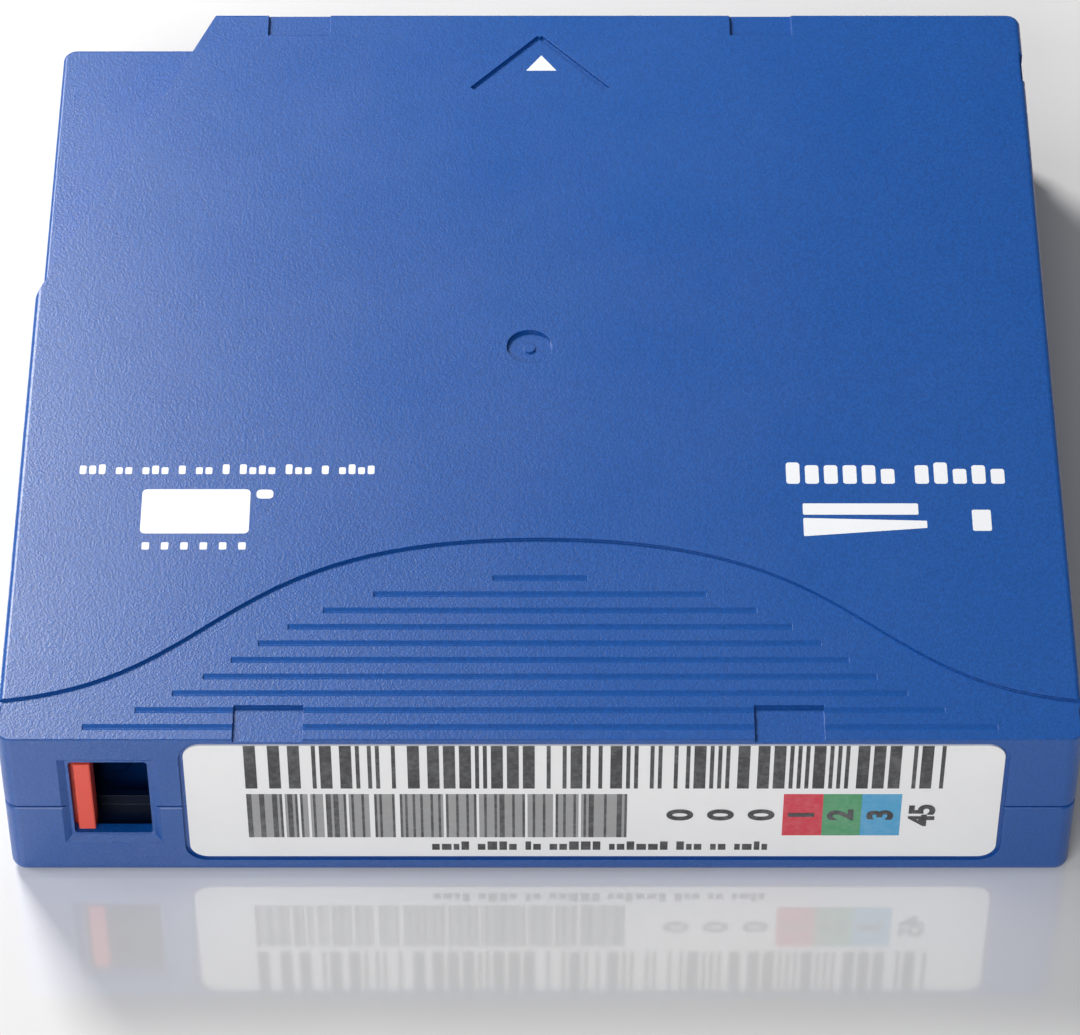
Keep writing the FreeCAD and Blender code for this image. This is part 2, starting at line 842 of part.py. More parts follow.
def brake_key(extra, z0, z1):
    """Cross-shaped key that stops the brake button from turning."""
    half_span = key_span / 2 + extra
    half = key_width / 2 + extra
    bars = [block(reel_x - half_span, reel_x + half_span, reel_y - half, reel_y + half, z0, z1),
            block(reel_x - half, reel_x + half, reel_y - half_span, reel_y + half_span, z0, z1)]
    return fused(bars)


def make_upper_case():
    """Upper half of the case: roof, walls, insertion guide, brake post and pillars."""
    body = case_body().common(block(-case_width, case_width, -case_depth, case_depth,
                                    parting_height, case_height + OVERCUT))
    body = body.cut(guide_prism(0, guide_top, case_height + OVERCUT))
    level = edges_where(body, lambda box: abs(box.ZMin - guide_top) < CLOSE
                        and abs(box.ZMax - guide_top) < CLOSE)
    rim = [edge for edge in level if edge.BoundBox.XMax < guide_side_point.x + corner_radius + CLOSE
           or edge.BoundBox.YMin > half_depth - corner_radius - CLOSE]
    body = body.makeFillet(guide_edge_radius, rim)
    cavity = inset_block(side_wall, parting_height - OVERCUT, roof_under, inner_corner_radius)
    cavity = cavity.cut(guide_prism(guide_wall, guide_roof_under, case_height))
    body = body.cut(cavity)
    body = body.cut(inset_block(side_wall - lip_thickness - lip_clearance, parting_height - OVERCUT,
                                parting_height + lip_height + lip_clearance,
                                inner_corner_radius + lip_thickness + lip_clearance))
    parts = [body]
    parts.append(brake_key(0, socket_bottom + brake_travel + key_end_gap, roof_under + WELD))
    seat_inner = brake_spring_outer + spring_seat_gap
    parts.append(ring(seat_inner, seat_inner + spring_seat_wall,
                      roof_under - spring_seat_height, roof_under + WELD, REEL))
    parts += [upper_boss(spot) for spot in screw_spots]
    parts += fence(parting_height + fence_gap / 2, roof_under + WELD, screw_spots[:2])
    parts += slider_rails(False)
    keeper_x = (board_x0 + board_x1) / 2
    keeper_z = floor_top + board_prop + board_thickness / math.sqrt(2) + board_keeper_gap
    parts.append(block(keeper_x - board_keeper_width / 2, keeper_x + board_keeper_width / 2,
                       -inner_y + board_keeper_gap, -inner_y + board_keeper_reach,
                       keeper_z, roof_under + WELD))
    parts.append(disc(pin_pad_radius, pin_top + pin_seat_gap, roof_under + WELD, PIN))
    parts.append(pin_post(roof_under - pin_post_height, roof_under + WELD,
                          -case_height, pin_leaf_z(True) + pin_spring_height + pin_post_slot_clearance))
    body = fused(parts)
    cuts = [upper_boss_hole(spot) for spot in screw_spots]
    cuts += top_face_cuts()
    cuts.append(label_recess())
    cuts += window_cuts()
    cuts += door_cuts()
    cuts.append(door_guides(roof_under - OVERCUT, roof_under + door_guide_depth))
    cuts += side_cuts()
    cuts.append(parting_bevel_tool(parting_upper_bevel))
    return body.cut(cuts).removeSplitter()


def make_case_screw(spot):
    """One screw with a round head and a cross recess, head down."""
    low = screw_floor - screw_head_height
    head = disc(screw_head_radius, low, screw_floor, spot)
    shank = disc(screw_shank_radius, screw_floor - WELD, screw_floor + screw_length, spot)
    body = head.fuse(shank)
    for length, width in ((driver_slot_length, driver_slot_width), (driver_slot_width, driver_slot_length)):
        body = body.cut(block(spot.x - length / 2, spot.x + length / 2, spot.y - width / 2,
                              spot.y + width / 2, low - OVERCUT, low + driver_slot_depth))
    return body.removeSplitter()


def make_case_screws():
    """The four case screws as a group of separate solids."""
    return Part.makeCompound([make_case_screw(spot) for spot in screw_spots])


def make_label():
    """Printed label, lying in the recess of the near face."""
    return near_face_block(label_x0, label_x1, label_z0, label_z1,
                           label_back - label_thickness, label_back, label_corner_radius)


# ---------------------------------------------------------------- reel

def make_reel_hub():
    """Hub and lower flange in one moulding, with drive teeth and brake teeth."""
    rib_inner = seat_outer_radius + centring_clearance
    rib_outer = rib_inner + centring_rib_width
    spigot = hub_bore_radius + flange_spigot_wall
    profile = [(0, web_base), (drive_ring_inner_radius, web_base), (drive_ring_inner_radius, drive_root),
               (drive_ring_outer_radius, drive_root), (drive_ring_outer_radius, web_base),
               (hub_bore_radius, web_base), (hub_bore_radius, reel_base), (rib_inner, reel_base),
               (rib_inner, reel_base - centring_rib_height), (rib_outer, reel_base - centring_rib_height),
               (rib_outer, reel_base), (flange_radius, reel_base),
               (flange_radius, flange_top), (hub_radius, flange_top), (hub_radius, upper_flange_base),
               (spigot, upper_flange_base), (spigot, upper_flange_base + flange_spigot_height),
               (hub_bore_radius, upper_flange_base + flange_spigot_height), (hub_bore_radius, web_top),
               (0, web_top)]
    body = revolved(profile, REEL)
    tooth_ring = ring(brake_inner_radius - tooth_ring_margin, brake_outer_radius + tooth_ring_margin,
                      web_top - WELD, hub_tooth_root, REEL)
    teeth = face_teeth(brake_inner_radius, brake_outer_radius, brake_tooth_count, brake_tooth_taper,
                       hub_tooth_root, hub_tooth_tip, 0)
    drive_teeth = face_teeth(drive_ring_inner_radius + tooth_ring_margin,
                             drive_ring_outer_radius - tooth_ring_margin, drive_tooth_count,
                             drive_tooth_taper, drive_root, reel_base, 0)
    body = body.fuse([tooth_ring] + teeth + drive_teeth)
    return body.cut(leg_slots() + arm_channels()).removeSplitter()


def radial_blocks(inner, outer, width, z0, z1):
    """Blocks on the three radii where the release pad has its legs."""
    arm = block(inner, outer, -width / 2, width / 2, z0, z1)
    arm.rotate(V(0, 0, 0), UP, 90)
    arm.translate(V(reel_x, reel_y, 0))
    return polar(arm, leg_count, REEL)


def leg_slots():
    """Slots through the web and the drive teeth for the release pad's legs."""
    return radial_blocks(leg_inner_radius - leg_clearance, leg_outer_radius + leg_clearance,
                         leg_width + 2 * leg_clearance, reel_base - OVERCUT, web_top + OVERCUT)


def arm_channels():
    """Gaps between the brake teeth where the release pad's arms rise."""
    return radial_blocks(brake_inner_radius - OVERCUT, brake_outer_radius + OVERCUT,
                         leg_width + 2 * arm_channel_clearance, web_top, hub_tooth_tip + OVERCUT)


def make_upper_flange():
    """Upper flange, welded onto the hub's spigot."""
    inner = hub_bore_radius + flange_spigot_wall + press_gap
    return ring(inner, flange_radius, upper_flange_base, reel_top, REEL)


def make_tape_pack():
    """Wound tape, solid between the hub and its outer turn."""
    return ring(hub_radius + press_gap, pack_radius, tape_base, tape_top, REEL)


def make_drive_plate():
    """Steel plate that the drive's magnet holds, inside the drive teeth."""
    outer = drive_ring_inner_radius - press_gap
    return ring(drive_plate_hole_radius, outer, web_base - drive_plate_thickness, web_base, REEL)


def make_release_pad():
    """Three-armed pad whose legs reach down among the drive teeth."""
    parts = [disc(pad_radius, pad_base, pad_top, REEL)]
    parts += radial_blocks(pad_radius - arm_overlap, leg_outer_radius, leg_width, pad_base, pad_top)
    parts += radial_blocks(leg_inner_radius, leg_outer_radius, leg_width,
                           reel_base + leg_recess, pad_base + WELD)
    dome_height = pad_dome_top - pad_top
    dome = Part.makeCone(pad_dome_radius, pad_dome_tip_radius, dome_height + WELD,
                         V(reel_x, reel_y, pad_top - WELD))
    parts.append(dome)
    return fused(parts)


def make_brake_button():
    """Brake button: downward face teeth, ribbed disc and a keyed socket."""
    low_boss = disc(button_boss_radius, pad_dome_top + dome_gap, brake_root + WELD, REEL)
    body = disc(brake_disc_radius, brake_root, brake_top, REEL)
    rim = ring(brake_disc_radius - brake_rim_width, brake_disc_radius, brake_top - WELD,
               brake_top + brake_rim_height, REEL)
    socket = disc(socket_radius, brake_top - WELD, socket_top, REEL)
    rib = block(brake_spring_outer + brake_rib_start, brake_disc_radius - brake_rim_width / 2,
                -brake_rib_width / 2, brake_rib_width / 2, brake_top - WELD, brake_top + brake_rib_height)
    rib.translate(V(reel_x, reel_y, 0))
    half_pitch_angle = 180.0 / brake_tooth_count
    teeth = face_teeth(brake_inner_radius, brake_outer_radius, brake_tooth_count, brake_tooth_taper,
                       brake_root, hub_tooth_root + tooth_mesh_gap, half_pitch_angle)
    body = body.fuse([low_boss, rim, socket] + polar(rib, brake_rib_count, REEL) + teeth)
    return body.cut(brake_key(key_clearance, socket_bottom, socket_top + OVERCUT)).removeSplitter()


def make_brake_spring():
    """Envelope of the coil spring that presses the brake button down."""
    return ring(brake_spring_inner, brake_spring_outer, brake_top + spring_end_gap,
                roof_under - spring_end_gap, REEL)


# ---------------------------------------------------------------- write-protect slider

def make_write_protect_slider():
    """Slider with a raised grip that stands in the write-protect window."""
    plate = block(slider_x0, slider_x1, slider_y0, slider_y1, slider_z0, slider_z1)
    upright = edges_where(plate, lambda box: box.ZLength > slider_thickness * 2)
    plate = plate.makeFillet(slider_corner_radius, upright)
    grip = block(slider_x1 - grip_width, slider_x1, slider_y0 - grip_height,
                 slider_y0 + WELD, window_z0 + grip_end_gap, window_z1 - grip_end_gap)
    front = edges_where(grip, lambda box: box.YMax < slider_y0 - grip_height + CLOSE
                        and box.ZLength > slider_thickness)
    grip = grip.makeFillet(grip_edge_radius, front)
    x0 = slider_x0 + slider_foot_inset
    x1 = slider_x1 - slider_foot_inset
    y0 = slider_y1 - WELD
    y1 = rail_y0 - slider_clearance
    foot = block(x0, x1, y0, y1, slider_z0, slider_z0 + slider_foot_height)
    head = block(x0, x1, y0, y1, slider_z1 - slider_foot_height, slider_z1)
    return fused([plate, grip, foot, head])


# ---------------------------------------------------------------- door

def make_access_door():
    """Sliding door with guide lugs, finger grooves and a tab for its spring."""
    plate = block(door_inner_x, door_outer_x, door_y0, door_y1, door_z0, door_z1)
    tab = block(door_outer_x - door_tab_width, door_outer_x, door_y0, door_y0 + door_tab_thickness,
                spring_z - door_tab_height / 2, spring_z + door_tab_height / 2)
    peg = Part.makeCylinder(spring_peg_radius, spring_peg_length + WELD,
                            V(spring_x, door_y0 - spring_peg_length, spring_z), V(0, 1, 0))
    parts = [plate, tab, peg]
    x0 = door_centre_x - door_lug_width / 2
    x1 = door_centre_x + door_lug_width / 2
    for y in (door_y0 + door_lug_inset, door_y1 - door_lug_inset - door_lug_length):
        parts.append(block(x0, x1, y, y + door_lug_length, door_z0 - door_lug_height, door_z0 + WELD))
        parts.append(block(x0, x1, y, y + door_lug_length, door_z1 - WELD, door_z1 + door_lug_height))
    body = fused(parts)
    grooves = []
    for step in range(1, door_groove_count + 1):
        y = opening_y0 + opening_length * step / (door_groove_count + 1)
        grooves.append(block(door_outer_x - door_groove_depth, door_outer_x + OVERCUT,
                             y - door_groove_width / 2, y + door_groove_width / 2,
                             pin_base + door_groove_end_gap, pin_top - door_groove_end_gap))
    return body.cut(grooves)


def make_door_spring():
    """Envelope of the long coil spring that keeps the door shut."""
    start = V(spring_x, spring_near_y + spring_end_gap, spring_z)
    length = spring_free_length - 2 * spring_end_gap
    outer = Part.makeCylinder(spring_radius, length, start, V(0, 1, 0))
    inner = Part.makeCylinder(spring_radius - spring_wire, length, start, V(0, 1, 0))
    return outer.cut(inner)


# ---------------------------------------------------------------- leader pin and tape end

def pin_leaf_z(upper):
    """Lower edge of a pin spring, centred on the end disc that it holds."""
    spare = (pin_disc_thickness - pin_spring_height) / 2
    return pin_top - pin_disc_thickness + spare if upper else pin_base + spare


def make_leader_pin():
    """Steel pin with a disc at each end, which the drive grips."""
    parts = [disc(pin_radius, pin_base, pin_top, PIN)]
    for z0 in (pin_base, pin_top - pin_disc_thickness):
        parts.append(disc(pin_disc_radius, z0, z0 + pin_disc_thickness, PIN))
    return fused(parts)


def leader_direction():
    """Start of the free tape on the pack, and its direction to the pin."""
    reach = PIN - REEL
    half_angle = math.acos(leader_radius / reach.Length)
    angle = math.atan2(reach.y, reach.x) - half_angle
    start = REEL + V(leader_radius * math.cos(angle), leader_radius * math.sin(angle), 0)
    return start, (PIN - start).normalize()


def make_leader_tape():
    """Free end of the tape, from the pack to the leader pin."""
    start, along = leader_direction()
    end = PIN - along * (pin_radius + clamp_gap)
    side = V(-along.y, along.x, 0) * (leader_thickness / 2)
    return prism([start - side, end - side, end + side, start + side], tape_base, tape_top)


def make_pin_clamp():
    """C-shaped clip that clamps the tape's end to the leader pin."""
    body = ring(clamp_inner, clamp_outer, tape_base + clamp_gap, tape_top - clamp_gap, PIN)
    along = leader_direction()[1]
    mouth = block(0, clamp_outer + OVERCUT, -clamp_slot / 2, clamp_slot / 2, 0, case_height)
    mouth.rotate(V(0, 0, 0), UP, math.degrees(math.atan2(-along.y, -along.x)))
    mouth.translate(PIN)
    return body.cut(mouth)


def make_pin_spring(upper):
    """Leaf spring that snaps round one end disc of the leader pin."""
    z0 = pin_leaf_z(upper)
    z1 = z0 + pin_spring_height
    leaf = ring(pin_leaf_inner, pin_leaf_outer, z0, z1, PIN)
    leaf = leaf.cut(sector(pin_leaf_outer + OVERCUT, 0, pin_spring_mouth_angle,
                           z0 - OVERCUT, z1 + OVERCUT, PIN))
    tail_x = pin_x - (pin_leaf_inner + pin_leaf_outer) / 2
    tail = block(tail_x - pin_spring_tail, tail_x, pin_y - pin_spring_thickness / 2,
                 pin_y + pin_spring_thickness / 2, z0, z1)
    return fused([leaf, tail])


# ---------------------------------------------------------------- memory module

def tilted(shape):
    """Tips a piece modelled flat on the floor onto the 45 degree props."""
    lift = board_seat_gap * math.sqrt(2)
    shape.rotate(V(0, 0, 0), V(1, 0, 0), -45)
    shape.translate(V(0, -inner_y + board_prop / 2 + lift / 2, floor_top + board_prop / 2 + lift / 2))
    return shape


def make_memory_board():
    """Small circuit board of the memory module."""
    board = block(board_x0, board_x1, -board_width / 2, board_width / 2, 0, board_thickness)
    return tilted(board)


def make_memory_chip():
    """Memory chip on the board's upper face."""
    middle = (board_x0 + board_x1) / 2
    chip = block(middle - chip_size / 2, middle + chip_size / 2, -chip_size / 2, chip_size / 2,
                 board_thickness, board_thickness + chip_thickness)
    return tilted(chip)


# ---------------------------------------------------------------- export

def make_parts():
    """Every sub-part by its node name."""
    return {
        "lower_case": make_lower_case(),
        "upper_case": make_upper_case(),
        "case_screws": make_case_screws(),
        "label": make_label(),
        "reel_hub": make_reel_hub(),
        "upper_flange": make_upper_flange(),
        "tape_pack": make_tape_pack(),
        "drive_plate": make_drive_plate(),
        "release_pad": make_release_pad(),
        "brake_button": make_brake_button(),
        "brake_spring": make_brake_spring(),
        "write_protect_slider": make_write_protect_slider(),
        "access_door": make_access_door(),
        "door_spring": make_door_spring(),
        "leader_pin": make_leader_pin(),
        "leader_tape": make_leader_tape(),
        "pin_clamp": make_pin_clamp(),
        "lower_pin_spring": make_pin_spring(False),
        "upper_pin_spring": make_pin_spring(True),
        "memory_board": make_memory_board(),
        "memory_chip": make_memory_chip(),
    }


os.makedirs("parts", exist_ok=True)
for name, shape in make_parts().items():
    shape.exportStep(os.path.join("parts", name + ".step"))
    print(name, len(shape.Solids), "valid" if shape.isValid() else "NOT VALID", round(shape.Volume, 2))
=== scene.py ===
import math
import random

import bpy
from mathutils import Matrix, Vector


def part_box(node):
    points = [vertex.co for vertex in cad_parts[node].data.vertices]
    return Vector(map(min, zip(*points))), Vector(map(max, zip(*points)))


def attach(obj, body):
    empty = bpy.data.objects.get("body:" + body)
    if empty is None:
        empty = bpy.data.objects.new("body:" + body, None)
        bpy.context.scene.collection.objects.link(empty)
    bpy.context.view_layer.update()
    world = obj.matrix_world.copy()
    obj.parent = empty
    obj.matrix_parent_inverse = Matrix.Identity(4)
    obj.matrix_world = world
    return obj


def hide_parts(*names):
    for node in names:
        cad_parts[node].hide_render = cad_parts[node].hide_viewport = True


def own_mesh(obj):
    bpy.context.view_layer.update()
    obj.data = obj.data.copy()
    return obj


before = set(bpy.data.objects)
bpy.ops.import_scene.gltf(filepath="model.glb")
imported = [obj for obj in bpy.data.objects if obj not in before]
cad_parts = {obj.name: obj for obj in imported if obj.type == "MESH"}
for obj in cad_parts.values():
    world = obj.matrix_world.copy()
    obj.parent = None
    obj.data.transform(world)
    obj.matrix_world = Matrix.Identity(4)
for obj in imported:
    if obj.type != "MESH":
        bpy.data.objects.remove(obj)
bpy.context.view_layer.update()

bl_info = {
    "name": "Data tape cartridge looks",
    "version": (1, 0, 0),
    "blender": (4, 5, 0),
    "location": "View3D > Sidebar > Cartridge",
    "description": "Finishes, print, springs and studio for a data tape cartridge",
    "category": "Object",
}

MM = 0.001
CASE_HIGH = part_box("upper_case")[1]
LABEL_LOW, LABEL_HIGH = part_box("label")
REEL_LOW, REEL_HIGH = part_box("tape_pack")
REEL_X = (REEL_LOW.x + REEL_HIGH.x) / 2
REEL_Y = (REEL_LOW.y + REEL_HIGH.y) / 2


# ---------------------------------------------------------------- settings

class CaseSettings(bpy.types.PropertyGroup):
    """Colours and surface of the moulded case."""
    blue: bpy.props.FloatVectorProperty(
        name="Case blue", description="Colour of the moulded case", subtype="COLOR",
        size=3, min=0.0, max=1.0, default=(0.003, 0.071, 0.305))
    deep_blue: bpy.props.FloatVectorProperty(
        name="Deep blue", description="Colour that the case drifts to between its flow marks",
        subtype="COLOR", size=3, min=0.0, max=1.0, default=(0.002, 0.061, 0.278))
    spark_size: bpy.props.FloatProperty(
        name="Spark texture size", description="Distance between the bumps of the spark-eroded skin",
        default=0.30 * MM, unit="LENGTH")
    spark_height: bpy.props.FloatProperty(
        name="Spark texture height", description="Height of the bumps of the spark-eroded skin",
        default=0.035 * MM, unit="LENGTH")
    print_white: bpy.props.FloatVectorProperty(
        name="Print white", description="Colour of the pad-printed marks", subtype="COLOR",
        size=3, min=0.0, max=1.0, default=(0.86, 0.88, 0.92))
    print_height: bpy.props.FloatProperty(
        name="Print thickness", description="Height of the ink over the surface",
        default=0.02 * MM, unit="LENGTH")
    edge_radius: bpy.props.FloatProperty(
        name="Edge rounding", description="Radius that moulding leaves on the finest edges",
        default=0.07 * MM, unit="LENGTH")


class LabelSettings(bpy.types.PropertyGroup):
    """Colours and layout of the printed label."""
    paper: bpy.props.FloatVectorProperty(
        name="Paper", description="Colour of the label paper", subtype="COLOR",
        size=3, min=0.0, max=1.0, default=(0.93, 0.93, 0.94))
    ink: bpy.props.FloatVectorProperty(
        name="Ink", description="Colour of the bars and numbers", subtype="COLOR",
        size=3, min=0.0, max=1.0, default=(0.045, 0.045, 0.05))
    coarse_modules: bpy.props.IntProperty(
        name="Coarse bars", description="Narrowest bar widths across the upper row of bars",
        default=176, min=20)
    fine_modules: bpy.props.IntProperty(
        name="Fine bars", description="Narrowest bar widths across the lower row of bars",
        default=150, min=20)
    figure_size: bpy.props.FloatProperty(
        name="Number size", description="Height of the type of the label's numbers",
        default=3.4 * MM, unit="LENGTH")
    red: bpy.props.FloatVectorProperty(
        name="Red cell", description="Colour of the first number cell", subtype="COLOR",
        size=3, min=0.0, max=1.0, default=(0.66, 0.045, 0.075))
    green: bpy.props.FloatVectorProperty(
        name="Green cell", description="Colour of the second number cell", subtype="COLOR",
        size=3, min=0.0, max=1.0, default=(0.085, 0.34, 0.16))
    cyan: bpy.props.FloatVectorProperty(
        name="Light blue cell", description="Colour of the third number cell", subtype="COLOR",
        size=3, min=0.0, max=1.0, default=(0.085, 0.38, 0.66))


class StudioSettings(bpy.types.PropertyGroup):
    """Camera and lights."""
    pitch: bpy.props.FloatProperty(
        name="Camera pitch", description="Angle that the camera looks down at", subtype="ANGLE",
        default=math.radians(48.8))
    distance: bpy.props.FloatProperty(
        name="Camera distance", description="Distance from the camera to the point that it looks at",
        default=0.5196, unit="LENGTH")
    lens: bpy.props.FloatProperty(
        name="Lens", description="Focal length of the camera, in millimetres", default=166.7)
    left_power: bpy.props.FloatProperty(
        name="Far left light", description="Power of the small light at the far left, in watts", default=2.0)
    side_power: bpy.props.FloatProperty(
        name="Side light", description="Power of the light at the left, in watts", default=0.9)
    front_power: bpy.props.FloatProperty(
        name="Near light", description="Power of the wide light over the near side, in watts", default=5.6)
    surround: bpy.props.FloatProperty(
        name="Surround", description="Strength of the pale surround", default=0.15)


# ---------------------------------------------------------------- print layout, in millimetres

# Top face: rows give x0, x1, y0, height, the blocks of each group and the seed of their heights;
# patches give the middle's x and y, width, height and corner rounding.
LEFT_ROW = (-46.7, -16.6, -16.9, 1.15, (3, 2, 3, 1, 2, 1, 4, 3, 1, 4), 7)
LEFT_PLATE = (-34.6, -21.9, 10.9, 5.9, 0.5)
LEFT_DOT = (-27.7, -19.6, 1.7, 1.2, 0.45)
LEFT_TICK = (-39.4, -26.5, 0.75, 0.95, 0.15)
LEFT_TICK_STEP = 1.93
LEFT_TICKS = 6
RIGHT_ROW = (24.6, 47.2, -18.2, 2.5, (6, 5), 9)
FLAG_UPPER = (32.2, -21.6, 11.6, 1.5, 0.15)
FLAG_LOWER = (32.6, -24.0, 12.4, 2.4, 0.15)
FLAG_TAPER = 0.4
FLAG_TAPER_Y = -23.4
RIGHT_BLOCK = (44.3, -23.1, 1.9, 2.8, 0.2)
TRIANGLE_RADIUS = 1.9
TRIANGLE_WIDTH = 0.84
TRIANGLE_PLACE = (0.15, 42.7)

# Label: the rows of bars, the number cells and the row of plain blocks.
BARS_X0 = -28.8
COARSE_X1 = 39.4
COARSE_Z0 = 13.4
COARSE_TOP_GAP = 0.05
FINE_X1 = 8.8
FINE_Z0 = 5.6
LOWER_ROW_TOP = 12.5
CELL_EDGES = (23.9, 27.8, 31.6, 35.5)
CELL_Z0 = 5.9
FIGURES = (("0", 13.9), ("0", 17.9), ("0", 21.9), ("1", 25.85), ("2", 29.7), ("3", 33.6), ("45", 37.7))
PLAIN_ROW_X0 = -10.7
PLAIN_ROW_Z0 = 3.55
BAR_THICKNESS = 0.02 * MM
CELL_THICKNESS = 0.015 * MM
GROUND_THICKNESS = 0.01 * MM

# Cavity behind the write-protect window, whose faces get painted shade: its middle and half sizes.
CAVITY_MIDDLE = (0, -45.0, 10.8)
CAVITY_HALF = (51.0, 4.3, 8.9)


# ---------------------------------------------------------------- modelling helpers

def deselect_all():
    """Leaves nothing selected, in object mode."""
    if bpy.context.object and bpy.context.object.mode != "OBJECT":
        bpy.ops.object.mode_set(mode="OBJECT")
    bpy.ops.object.select_all(action="DESELECT")


def make_active(piece):
    """Selects one piece alone and makes it active."""
    deselect_all()
    piece.select_set(True)
    bpy.context.view_layer.objects.active = piece


def settle(piece):
    """Puts the piece's place into its mesh, so that its object sits at the origin."""
    make_active(piece)
    bpy.ops.object.transform_apply(location=True, rotation=True, scale=True)
    return piece


def joined(pieces, name):
    """One object made of several."""
    deselect_all()
    for piece in pieces:
        piece.select_set(True)
    bpy.context.view_layer.objects.active = pieces[0]
    if len(pieces) > 1:
        bpy.ops.object.join()
    whole = bpy.context.object
    whole.name = name
    return whole


def copy_at(piece, move):
    """A copy of a piece with its own mesh, moved aside."""
    twin = piece.copy()
    twin.data = piece.data.copy()
    bpy.context.scene.collection.objects.link(twin)
    twin.location = piece.location + Vector(move)
    return twin


def ink_block(centre, size, rounding=0.0):
    """A thin printed shape: a plane that is sized, rounded and extruded.

    centre is the middle of its back, size its width, height and thickness, and the
    shape lies in the XY plane with its thickness along +Z.
    """
    bpy.ops.object.select_all(action="DESELECT")
    bpy.ops.mesh.primitive_plane_add(size=1.0, location=(0, 0, 0))
    piece = bpy.context.object
    bpy.ops.object.mode_set(mode="EDIT")
    bpy.ops.mesh.select_all(action="SELECT")
    bpy.ops.transform.resize(value=(size[0], size[1], 1.0))
    if rounding > 0:
        bpy.ops.mesh.bevel(offset=rounding, offset_type="OFFSET", segments=4, affect="VERTICES")
        bpy.ops.mesh.select_all(action="SELECT")
    bpy.ops.mesh.extrude_region_move(TRANSFORM_OT_translate={"value": (0, 0, size[2])})
    bpy.ops.mesh.select_all(action="SELECT")
    bpy.ops.mesh.normals_make_consistent(inside=False)
    bpy.ops.object.mode_set(mode="OBJECT")
    piece.location = centre
    return piece


def patch(layout, base, thick, shift=0.0):
    """A printed patch on the top face from its layout in millimetres."""
    x, y, width, height, rounding = layout
    return ink_block(((x + shift) * MM, y * MM, base), (width * MM, height * MM, thick), rounding * MM)


def on_label(piece, turn=0.0):
    """Stands a shape made in the XY plane up on the label's face, read from the near side."""
    x, height, off = piece.location
    piece.location = (x, LABEL_LOW.y - off, height)
    piece.rotation_euler = (math.radians(90), turn, 0)
    return piece


def dress(piece, material, body):
    """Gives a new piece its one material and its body."""
    piece.data.materials.clear()
    piece.data.materials.append(material)
    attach(piece, body)


def finish_node(node, material):
    """Gives a carried-over node its material."""
    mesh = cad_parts[node].data
    mesh.materials.clear()
    mesh.materials.append(material)


# ---------------------------------------------------------------- shader groups

def new_group(name, inputs, outputs):
    """A shader node group with its sockets, and its input and output nodes."""
    group = bpy.data.node_groups.new(name, "ShaderNodeTree")
    for label, kind, value in inputs:
        item = group.interface.new_socket(name=label, in_out="INPUT", socket_type=kind)
        if value is not None:
            item.default_value = value
    for label, kind in outputs:
        group.interface.new_socket(name=label, in_out="OUTPUT", socket_type=kind)
    return group, group.nodes.new("NodeGroupInput"), group.nodes.new("NodeGroupOutput")


def noise(tree, vector, scale, detail=2.0, roughness=0.5):
    """A noise texture on a vector."""
    node = tree.nodes.new("ShaderNodeTexNoise")
    node.inputs["Scale"].default_value = scale
    node.inputs["Detail"].default_value = detail
    node.inputs["Roughness"].default_value = roughness
    tree.links.new(vector, node.inputs["Vector"])
    return node


def maths(tree, operation, first, second=None):
    """A math node with each input a socket or a number."""
    node = tree.nodes.new("ShaderNodeMath")
    node.operation = operation
    for index, value in enumerate((first, second)):
        if value is None:
            continue
        if isinstance(value, (int, float)):
            node.inputs[index].default_value = value
        else:
            tree.links.new(value, node.inputs[index])
    return node.outputs[0]


def ranged(tree, value, low, high, to_low, to_high):
    """Maps a value from one range to another, clamped."""
    node = tree.nodes.new("ShaderNodeMapRange")
    for label, number in (("From Min", low), ("From Max", high), ("To Min", to_low), ("To Max", to_high)):
        if isinstance(number, (int, float)):
            node.inputs[label].default_value = number
        else:
            tree.links.new(number, node.inputs[label])
    tree.links.new(value, node.inputs["Value"])
    return node.outputs["Result"]


def mixed(tree, factor, first, second):
    """Mix of two colours by a factor."""
    node = tree.nodes.new("ShaderNodeMix")
    node.data_type = "RGBA"
    tree.links.new(factor, node.inputs["Factor"])
    for index, value in ((6, first), (7, second)):
        if isinstance(value, tuple):
            node.inputs[index].default_value = value
        else:
            tree.links.new(value, node.inputs[index])
    return node.outputs[2]


def round_reel_axis(tree, place):
    """Distance from the reel's axis, and the height along it."""
    centred = tree.nodes.new("ShaderNodeMapping")
    centred.inputs["Location"].default_value = (-REEL_X, -REEL_Y, 0)
    tree.links.new(place, centred.inputs["Vector"])
    split = tree.nodes.new("ShaderNodeSeparateXYZ")
    tree.links.new(centred.outputs[0], split.inputs[0])
    across = maths(tree, "POWER", split.outputs["X"], 2.0)
    along = maths(tree, "POWER", split.outputs["Y"], 2.0)
    return maths(tree, "SQRT", maths(tree, "ADD", across, along)), split.outputs["Z"]


def bump(tree, height, strength, distance, normal=None):
    """Bump node on a height, over a normal where one is given."""
    node = tree.nodes.new("ShaderNodeBump")
    node.inputs["Strength"].default_value = strength
    node.inputs["Distance"].default_value = distance
    tree.links.new(height, node.inputs["Height"])
    if normal is not None:
        tree.links.new(normal, node.inputs["Normal"])
    return node.outputs["Normal"]


